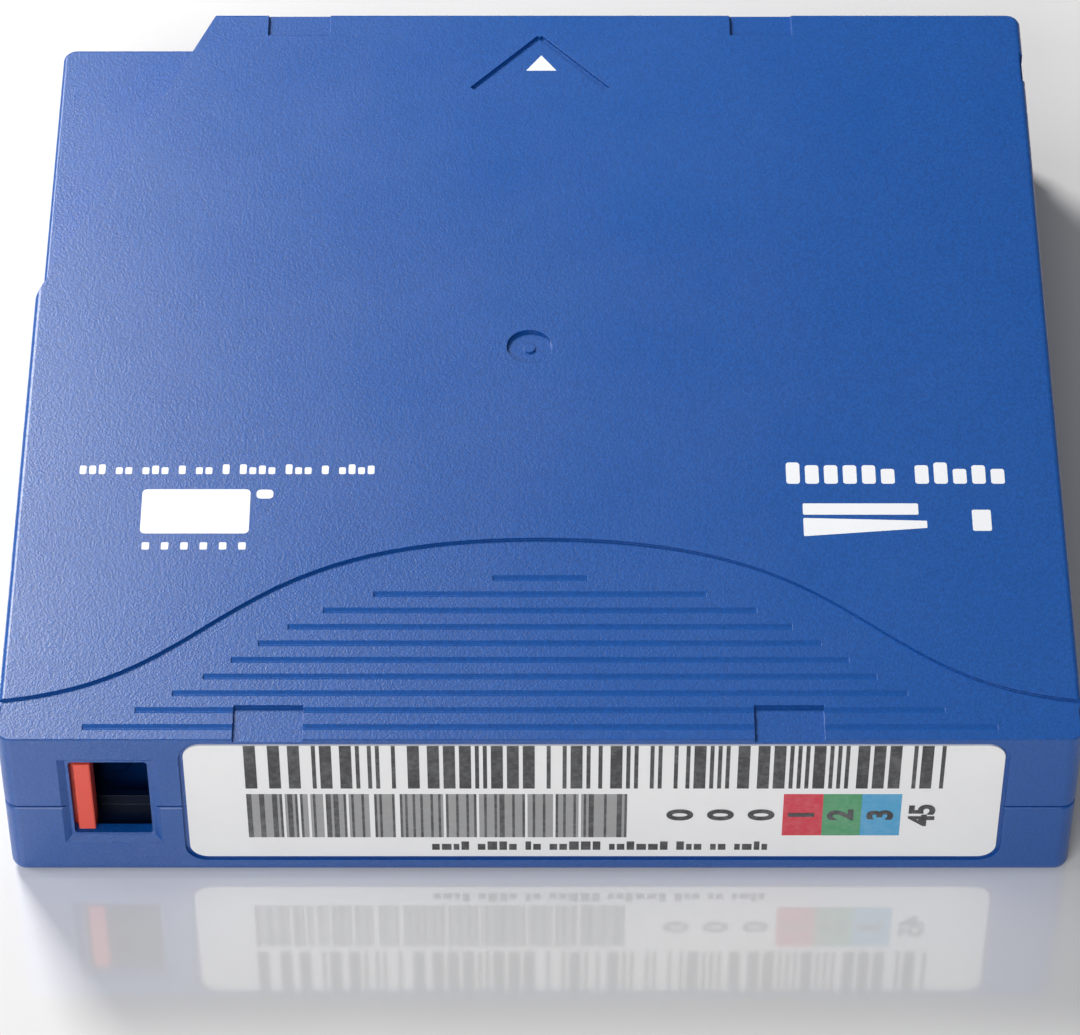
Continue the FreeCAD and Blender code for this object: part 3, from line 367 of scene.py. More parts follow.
def build_moulded_skin():
    """Spark-eroded plastic: fine bumps, sparkle in colour, slow flow marks and handling shine."""
    group, given, out = new_group(
        "moulded_skin",
        [("Position", "NodeSocketVector", None), ("Grain", "NodeSocketFloat", 2000.0),
         ("Sparkle", "NodeSocketFloat", 0.5)],
        [("Height", "NodeSocketFloat"), ("Fleck", "NodeSocketFloat"), ("Flow", "NodeSocketFloat"),
         ("Shine", "NodeSocketFloat")])
    place = given.outputs["Position"]
    coarse = noise(group, place, 1000.0, 3.0, 0.6)
    group.links.new(given.outputs["Grain"], coarse.inputs["Scale"])
    cells = group.nodes.new("ShaderNodeTexVoronoi")
    group.links.new(place, cells.inputs["Vector"])
    group.links.new(maths(group, "MULTIPLY", given.outputs["Grain"], 1.3), cells.inputs["Scale"])
    pits = ranged(group, cells.outputs["Distance"], 0.0, 0.6, 1.0, 0.0)
    height = maths(group, "ADD", maths(group, "MULTIPLY", coarse.outputs["Fac"], 0.7),
                   maths(group, "MULTIPLY", pits, 0.3))
    group.links.new(height, out.inputs["Height"])
    fleck = ranged(group, coarse.outputs["Fac"], 0.35, 0.68, 0.0, 1.0)
    fleck = maths(group, "MULTIPLY", fleck, given.outputs["Sparkle"])
    group.links.new(fleck, out.inputs["Fleck"])
    flow = noise(group, place, 26.0, 3.0, 0.55)
    group.links.new(ranged(group, flow.outputs["Fac"], 0.3, 0.7, 0.0, 1.0), out.inputs["Flow"])
    shine = noise(group, place, 60.0, 5.0, 0.6)
    group.links.new(ranged(group, shine.outputs["Fac"], 0.35, 0.75, 0.0, 1.0), out.inputs["Shine"])
    return group


def build_painted_edge_highlight():
    """Mask of the outer edges of a box, ragged by noise, from the distance to its planes, for a painted
    highlight along them.
    """
    group, given, out = new_group(
        "painted_edge_highlight",
        [("Position", "NodeSocketVector", None), ("Half X", "NodeSocketFloat", 0.05),
         ("Half Y", "NodeSocketFloat", 0.05), ("Top", "NodeSocketFloat", 0.02),
         ("Width", "NodeSocketFloat", 0.001)],
        [("Mask", "NodeSocketFloat")])
    split = group.nodes.new("ShaderNodeSeparateXYZ")
    group.links.new(given.outputs["Position"], split.inputs[0])
    gap_x = maths(group, "SUBTRACT", given.outputs["Half X"], maths(group, "ABSOLUTE", split.outputs["X"]))
    gap_y = maths(group, "SUBTRACT", given.outputs["Half Y"], maths(group, "ABSOLUTE", split.outputs["Y"]))
    middle = maths(group, "MULTIPLY", given.outputs["Top"], 0.5)
    up = maths(group, "ABSOLUTE", maths(group, "SUBTRACT", split.outputs["Z"], middle))
    gap_z = maths(group, "SUBTRACT", middle, up)
    near_xy = maths(group, "MAXIMUM", gap_x, gap_y)
    near_xz = maths(group, "MAXIMUM", gap_x, gap_z)
    near_yz = maths(group, "MAXIMUM", gap_y, gap_z)
    nearest = maths(group, "MINIMUM", maths(group, "MINIMUM", near_xy, near_xz), near_yz)
    edge_highlight_amount = noise(group, given.outputs["Position"], 700.0, 4.0, 0.65)
    ragged = maths(group, "MULTIPLY", given.outputs["Width"],
                   ranged(group, edge_highlight_amount.outputs["Fac"], 0.3, 0.7, 0.2, 1.3))
    mask = ranged(group, nearest, 0.0, ragged, 1.0, 0.0)
    group.links.new(mask, out.inputs["Mask"])
    return group


def build_painted_cavity_shade():
    """Mask of the faces inside a box about the origin, for painted shade in a cavity with little light in it.
    """
    group, given, out = new_group(
        "painted_cavity_shade",
        [("Position", "NodeSocketVector", None), ("Half X", "NodeSocketFloat", 0.05),
         ("Half Y", "NodeSocketFloat", 0.05), ("Half Z", "NodeSocketFloat", 0.01)],
        [("Mask", "NodeSocketFloat")])
    split = group.nodes.new("ShaderNodeSeparateXYZ")
    group.links.new(given.outputs["Position"], split.inputs[0])
    depths = []
    for axis in "XYZ":
        off = maths(group, "ABSOLUTE", split.outputs[axis])
        depths.append(maths(group, "SUBTRACT", given.outputs["Half " + axis], off))
    nearest = maths(group, "MINIMUM", maths(group, "MINIMUM", depths[0], depths[1]), depths[2])
    group.links.new(ranged(group, nearest, 0.0, 0.5 * MM, 0.0, 1.0), out.inputs["Mask"])
    return group


def new_material(name):
    """Empty material with a Principled shader, and its position socket."""
    material = bpy.data.materials.new(name)
    material.use_nodes = True
    tree = material.node_tree
    tree.nodes.clear()
    out = tree.nodes.new("ShaderNodeOutputMaterial")
    shader = tree.nodes.new("ShaderNodeBsdfPrincipled")
    tree.links.new(shader.outputs[0], out.inputs["Surface"])
    place = tree.nodes.new("ShaderNodeTexCoord")
    return material, tree, shader, place.outputs["Object"]


def grouped(tree, group, **values):
    """A group node with its inputs set to numbers or linked."""
    node = tree.nodes.new("ShaderNodeGroup")
    node.node_tree = group
    for label, value in values.items():
        socket = node.inputs[label.replace("_", " ")]
        if isinstance(value, (int, float)):
            socket.default_value = value
        else:
            tree.links.new(value, socket)
    return node


def solid(colour):
    """Colour with its alpha."""
    return tuple(colour) + (1.0,)


def shade(colour, share):
    """A colour scaled in brightness."""
    return tuple(min(1.0, part * share) for part in colour) + (1.0,)


def make_case_plastic(name, light, dark, groups, grain, height, radius):
    """Matt moulded plastic for the case halves and the door, with a painted highlight along the outer edges
    and painted shade in the cavity behind the window.
    """
    material, tree, shader, place = new_material(name)
    skin = grouped(tree, groups["skin"], Position=place, Grain=grain, Sparkle=0.8)
    edge = grouped(tree, groups["edge"], Position=place, Half_X=CASE_HIGH.x, Half_Y=CASE_HIGH.y,
                   Top=CASE_HIGH.z, Width=0.5 * MM)
    base = mixed(tree, skin.outputs["Flow"], solid(dark), solid(light))
    flecked = mixed(tree, skin.outputs["Fleck"], base, shade(light, 1.4))
    # Painted highlight: a lighter blue along the case's outer edges, set by the edge mask; these edges are
    # also made less rough.
    edge_highlight_amount = maths(tree, "MULTIPLY", edge.outputs["Mask"], 0.22)
    edge_highlighted = mixed(tree, edge_highlight_amount, flecked, shade(light, 1.8))
    centred = tree.nodes.new("ShaderNodeMapping")
    centred.inputs["Location"].default_value = tuple(-part * MM for part in CAVITY_MIDDLE)
    tree.links.new(place, centred.inputs["Vector"])
    cavity_shade = grouped(tree, groups["inside"], Position=centred.outputs[0], Half_X=CAVITY_HALF[0] * MM,
                     Half_Y=CAVITY_HALF[1] * MM, Half_Z=CAVITY_HALF[2] * MM)
    # Painted shade: faces inside the cavity behind the window take a tenth of the deep blue.
    coloured = mixed(tree, cavity_shade.outputs["Mask"], edge_highlighted, shade(dark, 0.1))
    tree.links.new(coloured, shader.inputs["Base Color"])
    rough = ranged(tree, skin.outputs["Shine"], 0.0, 1.0, 0.38, 0.32)
    tree.links.new(maths(tree, "SUBTRACT", rough, maths(tree, "MULTIPLY", edge.outputs["Mask"], 0.1)),
                   shader.inputs["Roughness"])
    shader.inputs["Specular IOR Level"].default_value = 0.65
    rounding = tree.nodes.new("ShaderNodeBevel")
    rounding.samples = 6
    rounding.inputs["Radius"].default_value = radius
    tree.links.new(bump(tree, skin.outputs["Height"], 0.8, height, rounding.outputs["Normal"]),
                   shader.inputs["Normal"])
    return material


def make_smooth_plastic(name, colour, groups, roughness, grain=900.0, flow=0.85):
    """Smooth moulded plastic with faint flow marks and fine handling marks."""
    material, tree, shader, place = new_material(name)
    skin = grouped(tree, groups["skin"], Position=place, Grain=grain, Sparkle=0.2)
    base = mixed(tree, skin.outputs["Flow"], shade(colour, flow), solid(colour))
    flecked = mixed(tree, skin.outputs["Fleck"], base, shade(colour, 1.12))
    tree.links.new(flecked, shader.inputs["Base Color"])
    tree.links.new(ranged(tree, skin.outputs["Shine"], 0.0, 1.0, roughness + 0.07, roughness - 0.05),
                   shader.inputs["Roughness"])
    tree.links.new(bump(tree, skin.outputs["Height"], 0.25, 0.01 * MM), shader.inputs["Normal"])
    return material


def make_paper(settings):
    """Coated label paper: slight fibre and soft mottling."""
    material, tree, shader, place = new_material("label_paper")
    fibre = noise(tree, place, 2600.0, 4.0, 0.7)
    mottle = noise(tree, place, 90.0, 3.0, 0.5)
    base = mixed(tree, ranged(tree, mottle.outputs["Fac"], 0.35, 0.7, 0.0, 1.0), solid(settings.paper),
                 shade(settings.paper, 0.965))
    speckled = mixed(tree, ranged(tree, fibre.outputs["Fac"], 0.56, 0.75, 0.0, 0.35), base,
                     shade(settings.paper, 0.93))
    tree.links.new(speckled, shader.inputs["Base Color"])
    tree.links.new(ranged(tree, mottle.outputs["Fac"], 0.3, 0.7, 0.46, 0.38), shader.inputs["Roughness"])
    tree.links.new(bump(tree, fibre.outputs["Fac"], 0.2, 0.008 * MM), shader.inputs["Normal"])
    return material


def make_ink(name, colour, unevenness=0.12, roughness=0.5):
    """Printed ink, a little uneven where the paper or plastic shows through."""
    material, tree, shader, place = new_material(name)
    spread = noise(tree, place, 1800.0, 3.0, 0.6)
    slow = noise(tree, place, 240.0, 2.0, 0.5)
    thin = maths(tree, "ADD", maths(tree, "MULTIPLY", spread.outputs["Fac"], 0.6),
                 maths(tree, "MULTIPLY", slow.outputs["Fac"], 0.4))
    lighter = tuple(part + (1.0 - part) * unevenness for part in colour) + (1.0,)
    tree.links.new(mixed(tree, ranged(tree, thin, 0.42, 0.68, 0.0, 1.0), solid(colour), lighter),
                   shader.inputs["Base Color"])
    tree.links.new(ranged(tree, thin, 0.3, 0.7, roughness - 0.05, roughness + 0.08),
                   shader.inputs["Roughness"])
    return material


def make_tape():
    """Wound tape: fine rings of tape edges on its sides, and a dark glossy outer turn."""
    material, tree, shader, place = new_material("tape_film")
    radius, _ = round_reel_axis(tree, place)
    ring = tree.nodes.new("ShaderNodeCombineXYZ")
    tree.links.new(radius, ring.inputs["X"])
    turns = noise(tree, ring.outputs[0], 9000.0, 5.0, 0.7)
    packs = noise(tree, ring.outputs[0], 700.0, 3.0, 0.6)
    rings = maths(tree, "ADD", maths(tree, "MULTIPLY", turns.outputs["Fac"], 0.55),
                  maths(tree, "MULTIPLY", packs.outputs["Fac"], 0.45))
    tree.links.new(mixed(tree, ranged(tree, rings, 0.3, 0.7, 0.0, 1.0), (0.022, 0.018, 0.016, 1.0),
                         (0.095, 0.082, 0.072, 1.0)), shader.inputs["Base Color"])
    tree.links.new(ranged(tree, rings, 0.3, 0.7, 0.22, 0.36), shader.inputs["Roughness"])
    tree.links.new(bump(tree, rings, 0.3, 0.01 * MM), shader.inputs["Normal"])
    return material


def make_steel(name, colour, roughness, turned=False):
    """Bright steel with fine drawn or turned lines."""
    material, tree, shader, place = new_material(name)
    if turned:
        radius, up = round_reel_axis(tree, place)
        source = tree.nodes.new("ShaderNodeCombineXYZ")
        tree.links.new(radius, source.inputs["X"])
        tree.links.new(up, source.inputs["Z"])
    else:
        source = tree.nodes.new("ShaderNodeMapping")
        source.inputs["Scale"].default_value = (1.0, 1.0, 0.12)
        tree.links.new(place, source.inputs["Vector"])
    lines = noise(tree, source.outputs[0], 6000.0, 4.0, 0.65)
    smear = noise(tree, place, 300.0, 3.0, 0.5)
    tree.links.new(mixed(tree, ranged(tree, lines.outputs["Fac"], 0.3, 0.7, 0.0, 1.0), shade(colour, 0.82),
                         solid(colour)), shader.inputs["Base Color"])
    shader.inputs["Metallic"].default_value = 1.0
    tree.links.new(ranged(tree, smear.outputs["Fac"], 0.3, 0.7, roughness - 0.06, roughness + 0.1),
                   shader.inputs["Roughness"])
    tree.links.new(bump(tree, lines.outputs["Fac"], 0.25, 0.006 * MM), shader.inputs["Normal"])
    return material


def make_board():
    """Green lacquered board with glass weave under the lacquer."""
    material, tree, shader, place = new_material("board_green")
    weave = tree.nodes.new("ShaderNodeTexWave")
    weave.inputs["Scale"].default_value = 700.0
    weave.inputs["Distortion"].default_value = 1.5
    tree.links.new(place, weave.inputs["Vector"])
    cloud = noise(tree, place, 500.0, 3.0, 0.5)
    both = maths(tree, "MULTIPLY", weave.outputs["Fac"], cloud.outputs["Fac"])
    tree.links.new(mixed(tree, both, (0.012, 0.12, 0.05, 1.0), (0.03, 0.24, 0.11, 1.0)),
                   shader.inputs["Base Color"])
    tree.links.new(ranged(tree, cloud.outputs["Fac"], 0.3, 0.7, 0.22, 0.35), shader.inputs["Roughness"])
    tree.links.new(bump(tree, weave.outputs["Fac"], 0.15, 0.01 * MM), shader.inputs["Normal"])
    return material


# ---------------------------------------------------------------- operators

class OBJECT_OT_finish_case(bpy.types.Operator):
    """Give the case halves and the door their moulded blue plastic"""
    bl_idname = "object.finish_cartridge_case"
    bl_label = "Finish case"

    def execute(self, context):
        look = context.scene.cartridge_case
        groups = shared_groups()
        grain = 1.0 / look.spark_size
        blue = tuple(look.blue)
        deep = tuple(look.deep_blue)
        case = make_case_plastic("case_plastic", blue, deep, groups, grain, look.spark_height,
                                 look.edge_radius)
        finish_node("lower_case", case)
        finish_node("upper_case", case)
        door = make_case_plastic("door_plastic", tuple(part * 0.9 for part in blue),
                                 tuple(part * 0.9 for part in deep), groups, grain * 1.3,
                                 look.spark_height * 0.6, look.edge_radius)
        finish_node("access_door", door)
        return {"FINISHED"}


class OBJECT_OT_finish_inner_parts(bpy.types.Operator):
    """Give the reel, brake, leader, slider and small inner parts their materials"""
    bl_idname = "object.finish_cartridge_inner_parts"
    bl_label = "Finish inner parts"

    def execute(self, context):
        groups = shared_groups()
        reel = make_smooth_plastic("reel_plastic", (0.70, 0.71, 0.69), groups, 0.36)
        white = make_smooth_plastic("white_plastic", (0.82, 0.82, 0.79), groups, 0.34)
        dark = make_smooth_plastic("dark_plastic", (0.028, 0.028, 0.031), groups, 0.38)
        red = make_smooth_plastic("red_plastic", (0.84, 0.085, 0.05), groups, 0.34, 1500.0, 0.9)
        plate = make_steel("plate_steel", (0.60, 0.60, 0.61), 0.28, True)
        screws = make_steel("screw_steel", (0.50, 0.51, 0.53), 0.34)
        tape = make_tape()
        for node, material in (("reel_hub", reel), ("upper_flange", reel), ("tape_pack", tape),
                               ("leader_tape", tape), ("drive_plate", plate), ("leader_pin", plate),
                               ("release_pad", white), ("brake_button", dark), ("pin_clamp", dark),
                               ("memory_chip", dark), ("case_screws", screws), ("memory_board", make_board()),
                               ("write_protect_slider", red)):
            finish_node(node, material)
        leaf = make_steel("leaf_steel", (0.56, 0.55, 0.52), 0.25)
        finish_node("lower_pin_spring", leaf)
        finish_node("upper_pin_spring", leaf)
        return {"FINISHED"}


class OBJECT_OT_wind_springs(bpy.types.Operator):
    """Wind the brake spring and the door spring as real coils"""
    bl_idname = "object.wind_cartridge_springs"
    bl_label = "Wind springs"

    def execute(self, context):
        steel = make_steel("spring_steel", (0.52, 0.52, 0.53), 0.24)
        low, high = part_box("brake_spring")
        coil = wound_coil("brake_coil", low, high, 2, 1.2 * MM, 4.5)
        dress(coil, steel, "case")
        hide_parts("brake_spring")
        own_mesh(coil)
        low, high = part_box("door_spring")
        coil = wound_coil("door_coil", low, high, 1, 0.45 * MM, 24)
        dress(coil, steel, "case")
        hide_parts("door_spring")
        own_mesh(coil)
        return {"FINISHED"}


def wound_coil(name, low, high, axis, wire, turns):
    """A coil spring that fills a box: one wire section screwed along the box's axis."""
    middle = (low + high) / 2
    length = high[axis] - low[axis] - wire
    radius = (high.x - low.x - wire) / 2
    bpy.ops.object.select_all(action="DESELECT")
    bpy.ops.mesh.primitive_circle_add(vertices=12, radius=wire / 2, fill_type="NOTHING",
                                      location=(0, 0, 0), rotation=(math.radians(90), 0, 0))
    coil = bpy.context.object
    bpy.ops.object.transform_apply(location=False, rotation=True, scale=False)
    bpy.ops.object.mode_set(mode="EDIT")
    bpy.ops.mesh.select_all(action="SELECT")
    bpy.ops.transform.translate(value=(radius, 0, -length / 2))
    bpy.ops.object.mode_set(mode="OBJECT")
    screw = coil.modifiers.new("winding", "SCREW")
    screw.angle = 2 * math.pi * turns
    screw.screw_offset = length
    screw.steps = int(28 * turns)
    screw.render_steps = screw.steps
    screw.axis = "Z"
    bpy.ops.object.modifier_apply(modifier=screw.name)
    bpy.ops.object.mode_set(mode="EDIT")
    bpy.ops.mesh.select_all(action="DESELECT")
    bpy.ops.mesh.select_mode(type="EDGE")
    bpy.ops.mesh.select_non_manifold()
    bpy.ops.mesh.edge_face_add()
    bpy.ops.mesh.select_all(action="SELECT")
    bpy.ops.mesh.normals_make_consistent(inside=False)
    bpy.ops.object.mode_set(mode="OBJECT")
    if axis == 1:
        coil.rotation_euler = (math.radians(-90), 0, 0)
    coil.location = middle
    settle(coil)
    coil.name = name
    bpy.ops.object.shade_smooth_by_angle(angle=math.radians(50))
    return coil


class OBJECT_OT_print_top(bpy.types.Operator):
    """Print the plain white marks on the top face"""
    bl_idname = "object.print_cartridge_top"
    bl_label = "Print top"

    def execute(self, context):
        look = context.scene.cartridge_case
        ink = make_ink("print_white", tuple(look.print_white), 0.1, 0.45)
        top = CASE_HIGH.z
        thick = look.print_height
        print_piece(ink, [direction_triangle(top, thick)], "direction_triangle")
        print_piece(ink, [block_row(top, thick, *LEFT_ROW)], "left_plain_row")
        print_piece(ink, [patch(LEFT_PLATE, top, thick), patch(LEFT_DOT, top, thick)], "left_plain_plate")
        ticks = [patch(LEFT_TICK, top, thick, LEFT_TICK_STEP * step) for step in range(LEFT_TICKS)]
        print_piece(ink, ticks, "left_plain_ticks")
        print_piece(ink, [block_row(top, thick, *RIGHT_ROW)], "right_plain_row")
        print_piece(ink, [plain_flag(top, thick)], "right_plain_flag")
        print_piece(ink, [patch(RIGHT_BLOCK, top, thick)], "right_plain_block")
        return {"FINISHED"}


def print_piece(ink, shapes, name):
    """Joins printed shapes into one piece that rides on the case."""
    dress(settle(joined(shapes, name)), ink, "case")


def block_row(top, thick, x0, x1, y0, height, groups, seed):
    """A row of small upright blocks in groups, in the place of a line of text."""
    chance = random.Random(seed)
    blocks = sum(groups)
    gap = 1.6
    pitch = (x1 - x0) / (blocks + gap * 0.5 * (len(groups) - 1))
    sample = ink_block((0, 0, top), (pitch * 0.72 * MM, height * MM, thick), min(pitch * 0.2, 0.3) * MM)
    pieces = []
    x = x0
    for count in groups:
        for _ in range(count):
            tall = chance.choice((0.8, 1.0, 1.0, 1.15))
            twin = copy_at(sample, ((x + pitch / 2) * MM, (y0 + height * tall / 2) * MM, 0))
            twin.scale = (1, tall, 1)
            pieces.append(twin)
            x += pitch
        x += pitch * gap * 0.5
    bpy.data.objects.remove(sample)
    return joined(pieces, "plain_blocks")


def plain_flag(top, thick):
    """A two-tier white mark whose lower tier narrows to the right: sized and tapered planes."""
    upper = patch(FLAG_UPPER, top, thick)
    lower = patch(FLAG_LOWER, top, thick)
    make_active(lower)
    bpy.ops.object.mode_set(mode="EDIT")
    bpy.ops.mesh.select_all(action="DESELECT")
    bpy.ops.object.mode_set(mode="OBJECT")
    for vertex in lower.data.vertices:
        vertex.select = vertex.co.x > 0
    bpy.ops.object.mode_set(mode="EDIT")
    bpy.ops.transform.resize(value=(1.0, FLAG_TAPER, 1.0),
                             center_override=(FLAG_LOWER[0] * MM, FLAG_TAPER_Y * MM, top))
    bpy.ops.object.mode_set(mode="OBJECT")
    return joined([upper, lower], "plain_flag")


def direction_triangle(top, thick):
    """Filled triangle inside the arrow groove: a three-sided disc, sized and extruded."""
    bpy.ops.object.select_all(action="DESELECT")
    bpy.ops.mesh.primitive_circle_add(vertices=3, radius=TRIANGLE_RADIUS * MM, fill_type="NGON",
                                      location=(0, 0, 0))
    piece = bpy.context.object
    bpy.ops.object.mode_set(mode="EDIT")
    bpy.ops.mesh.select_all(action="SELECT")
    bpy.ops.transform.resize(value=(1.0, TRIANGLE_WIDTH, 1.0), center_override=(0, 0, 0))
    bpy.ops.mesh.extrude_region_move(TRANSFORM_OT_translate={"value": (0, 0, thick)})
    bpy.ops.mesh.select_all(action="SELECT")
    bpy.ops.mesh.normals_make_consistent(inside=False)
    bpy.ops.object.mode_set(mode="OBJECT")
    piece.location = (TRIANGLE_PLACE[0] * MM, TRIANGLE_PLACE[1] * MM, top)
    return piece


class OBJECT_OT_print_label(bpy.types.Operator):
    """Print bars, number cells, numbers and a row of plain marks on the label"""
    bl_idname = "object.print_cartridge_label"
    bl_label = "Print label"

    def execute(self, context):
        look = context.scene.cartridge_label
        finish_node("label", make_paper(look))
        ink = make_ink("bar_ink", tuple(look.ink), 0.10)
        fine_ink = make_ink("fine_bar_ink", tuple(part * 1.4 for part in look.ink), 0.12)
        coarse = bar_row("coarse_bars", COARSE_X1 * MM, COARSE_Z0 * MM, LABEL_HIGH.z - COARSE_TOP_GAP * MM,
                         look.coarse_modules, (1, 1, 1, 3, 3), (1, 1, 1, 2, 3), 11)
        dress(coarse, ink, "case")
        fine = bar_row("fine_bars", FINE_X1 * MM, FINE_Z0 * MM, LOWER_ROW_TOP * MM,
                       look.fine_modules, (1, 1, 2), (1, 2, 3, 4), 5)
        dress(fine, fine_ink, "case")
        tint = make_ink("bar_tint", tuple(0.31 + part for part in look.ink), 0.06)
        ground = bar_row("fine_bar_ground", FINE_X1 * MM, FINE_Z0 * MM, LOWER_ROW_TOP * MM,
                         look.fine_modules, (3, 5, 6, 8), (1, 1, 1, 2), 8, GROUND_THICKNESS)
        dress(ground, tint, "case")
        number_cells(look, ink)
        plain_row(ink)
        return {"FINISHED"}


def bar_row(name, x1, z0, z1, modules, widths, gaps, seed, thick=BAR_THICKNESS):
    """A row of upright bars of a few widths in modules, drawn without meaning."""
    chance = random.Random(seed)
    x0 = BARS_X0 * MM
    module = (x1 - x0) / modules
    bar = ink_block((0, (z0 + z1) / 2, 0), (module, z1 - z0, thick))
    pieces = []
    used = 0
    while used < modules:
        wide = min(chance.choice(widths), modules - used)
        twin = copy_at(bar, (x0 + (used + wide / 2) * module, 0, 0))
        twin.scale = (wide, 1, 1)
        pieces.append(on_label(twin))
        used += wide + chance.choice(gaps)
    bpy.data.objects.remove(bar)
    return settle(joined(pieces, name))


def number_cells(look, ink):
    """Three coloured cells and the numbers along the label's right half, read from the right."""
    z0 = CELL_Z0 * MM
    z1 = LOWER_ROW_TOP * MM
    for index, colour in enumerate((look.red, look.green, look.cyan)):
        x0 = CELL_EDGES[index] * MM
        x1 = CELL_EDGES[index + 1] * MM
        cell = on_label(ink_block(((x0 + x1) / 2, (z0 + z1) / 2, 0), (x1 - x0, z1 - z0, CELL_THICKNESS)))
        cell = settle(joined([cell], "number_cell_%d" % (index + 1)))
        dress(cell, make_ink("cell_ink_%d" % (index + 1), tuple(colour), 0.08), "case")
    figures = [figure_mark(figure, look.figure_size, x * MM, (z0 + z1) / 2) for figure, x in FIGURES]
    numbers = settle(joined(figures, "label_numbers"))
    dress(numbers, ink, "case")


def figure_mark(figure, size, x, z):
    """A plain number on the label, turned a quarter to read along the case."""
    deselect_all()
    bpy.ops.object.text_add(location=(0, 0, 0))
    mark = bpy.context.object
    mark.data.body = figure
    mark.data.size = size
    mark.data.align_x = "CENTER"
    mark.data.align_y = "CENTER"
    mark.data.extrude = 0.01 * MM
    mark.data.offset = 0.13 * MM
    bpy.ops.object.convert(target="MESH")
    mark = bpy.context.object
    mark.location = (x, z, CELL_THICKNESS + 0.01 * MM)
    return on_label(mark, math.radians(-90))


def plain_row(ink):
    """A row of small blocks, in groups, in the place of a line of text."""
    chance = random.Random(3)
    block = ink_block((0, 0, 0), (1.0 * MM, 1.0 * MM, CELL_THICKNESS))
    pieces = []
    x = PLAIN_ROW_X0 * MM
    for count in (4, 4, 2, 5, 6, 3, 2, 4):
        for _ in range(count):
            tall = chance.choice((0.95, 0.95, 0.95, 1.35))
            wide = chance.choice((0.55, 0.75, 0.75, 0.95))
            twin = copy_at(block, (x + wide / 2 * MM, (PLAIN_ROW_Z0 + tall / 2) * MM, 0))
            twin.scale = (wide, tall, 1)
            pieces.append(on_label(twin))
            x += (wide + 0.22) * MM
        x += 0.65 * MM
    bpy.data.objects.remove(block)
    row = settle(joined(pieces, "label_plain_row"))
    dress(row, ink, "case")


class SCENE_OT_build_studio(bpy.types.Operator):
    """Set up the floor, the lights, the world and the camera"""
    bl_idname = "scene.build_cartridge_studio"
    bl_label = "Build studio"

    def execute(self, context):
        build_floor()
        build_lights(context.scene.cartridge_studio)
        build_camera(context.scene.cartridge_studio)
        context.scene.view_settings.view_transform = "Standard"
        return {"FINISHED"}


def build_floor():
    """Wide pale glossy floor, just under the cartridge."""
    bpy.ops.object.select_all(action="DESELECT")
    bpy.ops.mesh.primitive_plane_add(size=6.0, location=(0, 0, -0.05 * MM))
    floor = bpy.context.object
    floor.name = "studio_floor"
    material, tree, shader, place = new_material("floor_white")
    cloud = noise(tree, place, 3.0, 2.0, 0.5)
    tree.links.new(mixed(tree, cloud.outputs["Fac"], (0.93, 0.93, 0.935, 1.0), (0.95, 0.95, 0.955, 1.0)),
                   shader.inputs["Base Color"])
    shader.inputs["Roughness"].default_value = 0.08
    shader.inputs["IOR"].default_value = 2.6
    floor.data.materials.append(material)


def area_light(name, place, aim, size, power, colour=(1.0, 1.0, 1.0)):
    """A soft rectangular light aimed at a point."""
    bpy.ops.object.light_add(type="AREA", location=place)
    lamp = bpy.context.object
    lamp.name = name
    lamp.data.shape = "RECTANGLE"
    lamp.data.size = size[0]
    lamp.data.size_y = size[1]
    lamp.data.energy = power
    lamp.data.color = colour
    lamp.rotation_euler = (Vector(aim) - Vector(place)).to_track_quat("-Z", "Y").to_euler()


def build_lights(settings):
    """Soft light from the far left, the left and the near side, and a pale surround."""
    world = bpy.data.worlds.new("studio_world")
    world.use_nodes = True
    world.node_tree.nodes["Background"].inputs["Color"].default_value = (1.0, 1.0, 1.0, 1.0)
    world.node_tree.nodes["Background"].inputs["Strength"].default_value = settings.surround
    bpy.context.scene.world = world
    area_light("soft_left", (-0.20, 0.28, 0.33), (-0.02, 0, 0), (0.12, 0.16), settings.left_power,
               (1.0, 0.98, 0.96))
    area_light("soft_side", (-0.50, -0.05, 0.30), (0, 0, 0.01), (0.25, 0.40), settings.side_power)
    area_light("soft_front", (-0.30, -0.80, 0.62), (0, 0, 0.01), (0.6, 0.5), settings.front_power)


def build_camera(settings):
    """Camera over the near side, looking down at the cartridge."""
    aim = Vector((0.0, -10.9 * MM, 8.0 * MM))
    back = Vector((0, -math.cos(settings.pitch), math.sin(settings.pitch)))
    bpy.ops.object.camera_add(location=aim + back * settings.distance)
    camera = bpy.context.object
    camera.name = "studio_camera"
    camera.rotation_euler = (-back).to_track_quat("-Z", "Y").to_euler()
    camera.data.lens = settings.lens
    camera.data.sensor_width = 36.0
    camera.data.clip_start = 0.01
    bpy.context.scene.camera = camera


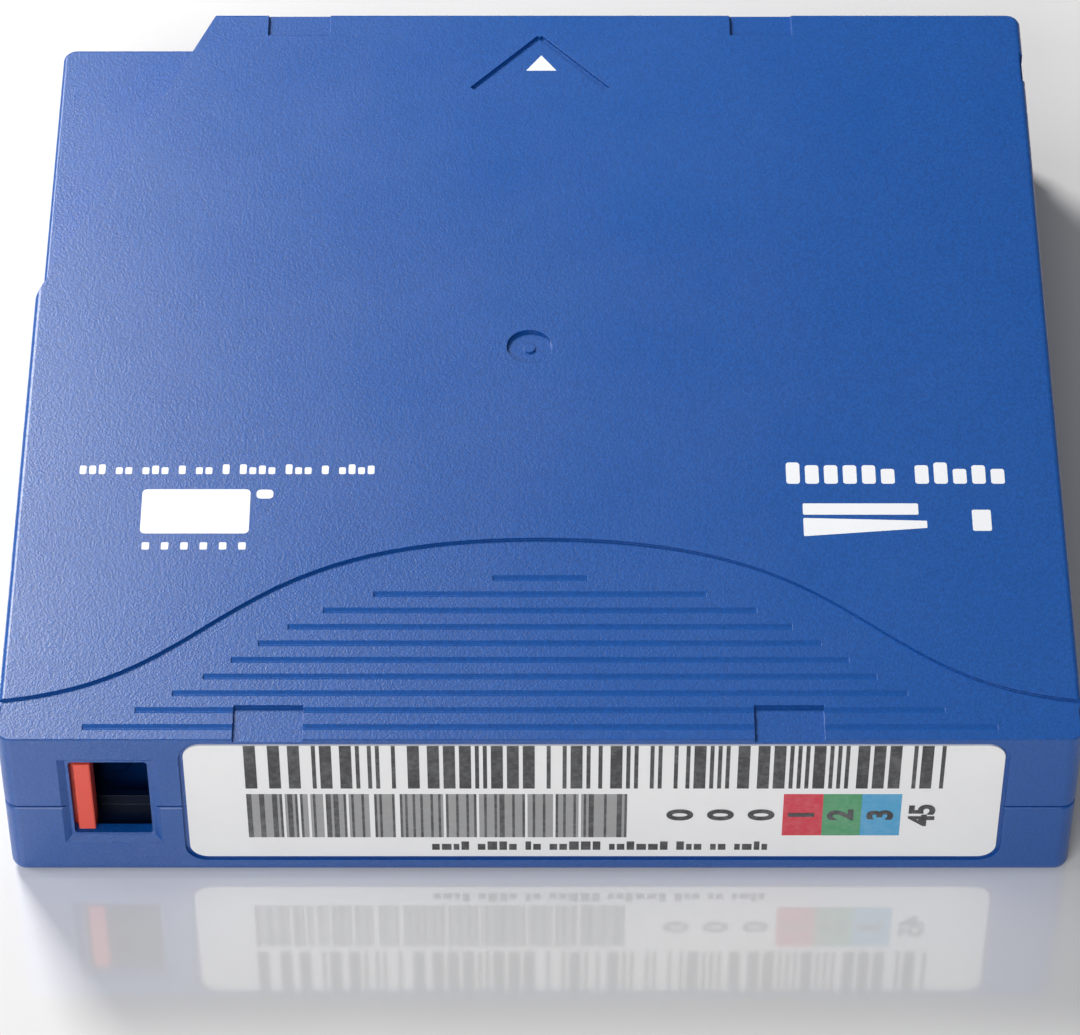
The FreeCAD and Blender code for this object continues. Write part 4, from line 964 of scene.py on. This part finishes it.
class VIEW3D_PT_cartridge(bpy.types.Panel):
    """Sidebar panel with the cartridge's settings and steps"""
    bl_label = "Data tape cartridge"
    bl_idname = "VIEW3D_PT_cartridge"
    bl_space_type = "VIEW_3D"
    bl_region_type = "UI"
    bl_category = "Cartridge"

    def draw(self, context):
        for settings in (context.scene.cartridge_case, context.scene.cartridge_label,
                         context.scene.cartridge_studio):
            box = self.layout.box()
            for label in settings.__annotations__:
                box.prop(settings, label)
        for operator in OPERATORS:
            self.layout.operator(operator.bl_idname)


# ---------------------------------------------------------------- registration and run

OPERATORS = (OBJECT_OT_finish_case, OBJECT_OT_finish_inner_parts, OBJECT_OT_wind_springs,
             OBJECT_OT_print_top, OBJECT_OT_print_label, SCENE_OT_build_studio)
CLASSES = (CaseSettings, LabelSettings, StudioSettings, *OPERATORS, VIEW3D_PT_cartridge)


def shared_groups():
    """The shader groups that several materials use, built once."""
    if "moulded_skin" not in bpy.data.node_groups:
        build_moulded_skin()
        build_painted_edge_highlight()
        build_painted_cavity_shade()
    return {"skin": bpy.data.node_groups["moulded_skin"], "edge": bpy.data.node_groups["painted_edge_highlight"],
            "inside": bpy.data.node_groups["painted_cavity_shade"]}


def register():
    """Registers the classes and the settings on the scene."""
    for cls in CLASSES:
        bpy.utils.register_class(cls)
    bpy.types.Scene.cartridge_case = bpy.props.PointerProperty(type=CaseSettings)
    bpy.types.Scene.cartridge_label = bpy.props.PointerProperty(type=LabelSettings)
    bpy.types.Scene.cartridge_studio = bpy.props.PointerProperty(type=StudioSettings)


def unregister():
    """Removes the settings and the classes."""
    del bpy.types.Scene.cartridge_studio
    del bpy.types.Scene.cartridge_label
    del bpy.types.Scene.cartridge_case
    for cls in reversed(CLASSES):
        bpy.utils.unregister_class(cls)


def main():
    """Builds the whole visual model in order."""
    register()
    bpy.ops.object.finish_cartridge_case()
    bpy.ops.object.finish_cartridge_inner_parts()
    bpy.ops.object.wind_cartridge_springs()
    bpy.ops.object.print_cartridge_top()
    bpy.ops.object.print_cartridge_label()
    bpy.ops.scene.build_cartridge_studio()


if __name__ == "__main__":
    main()
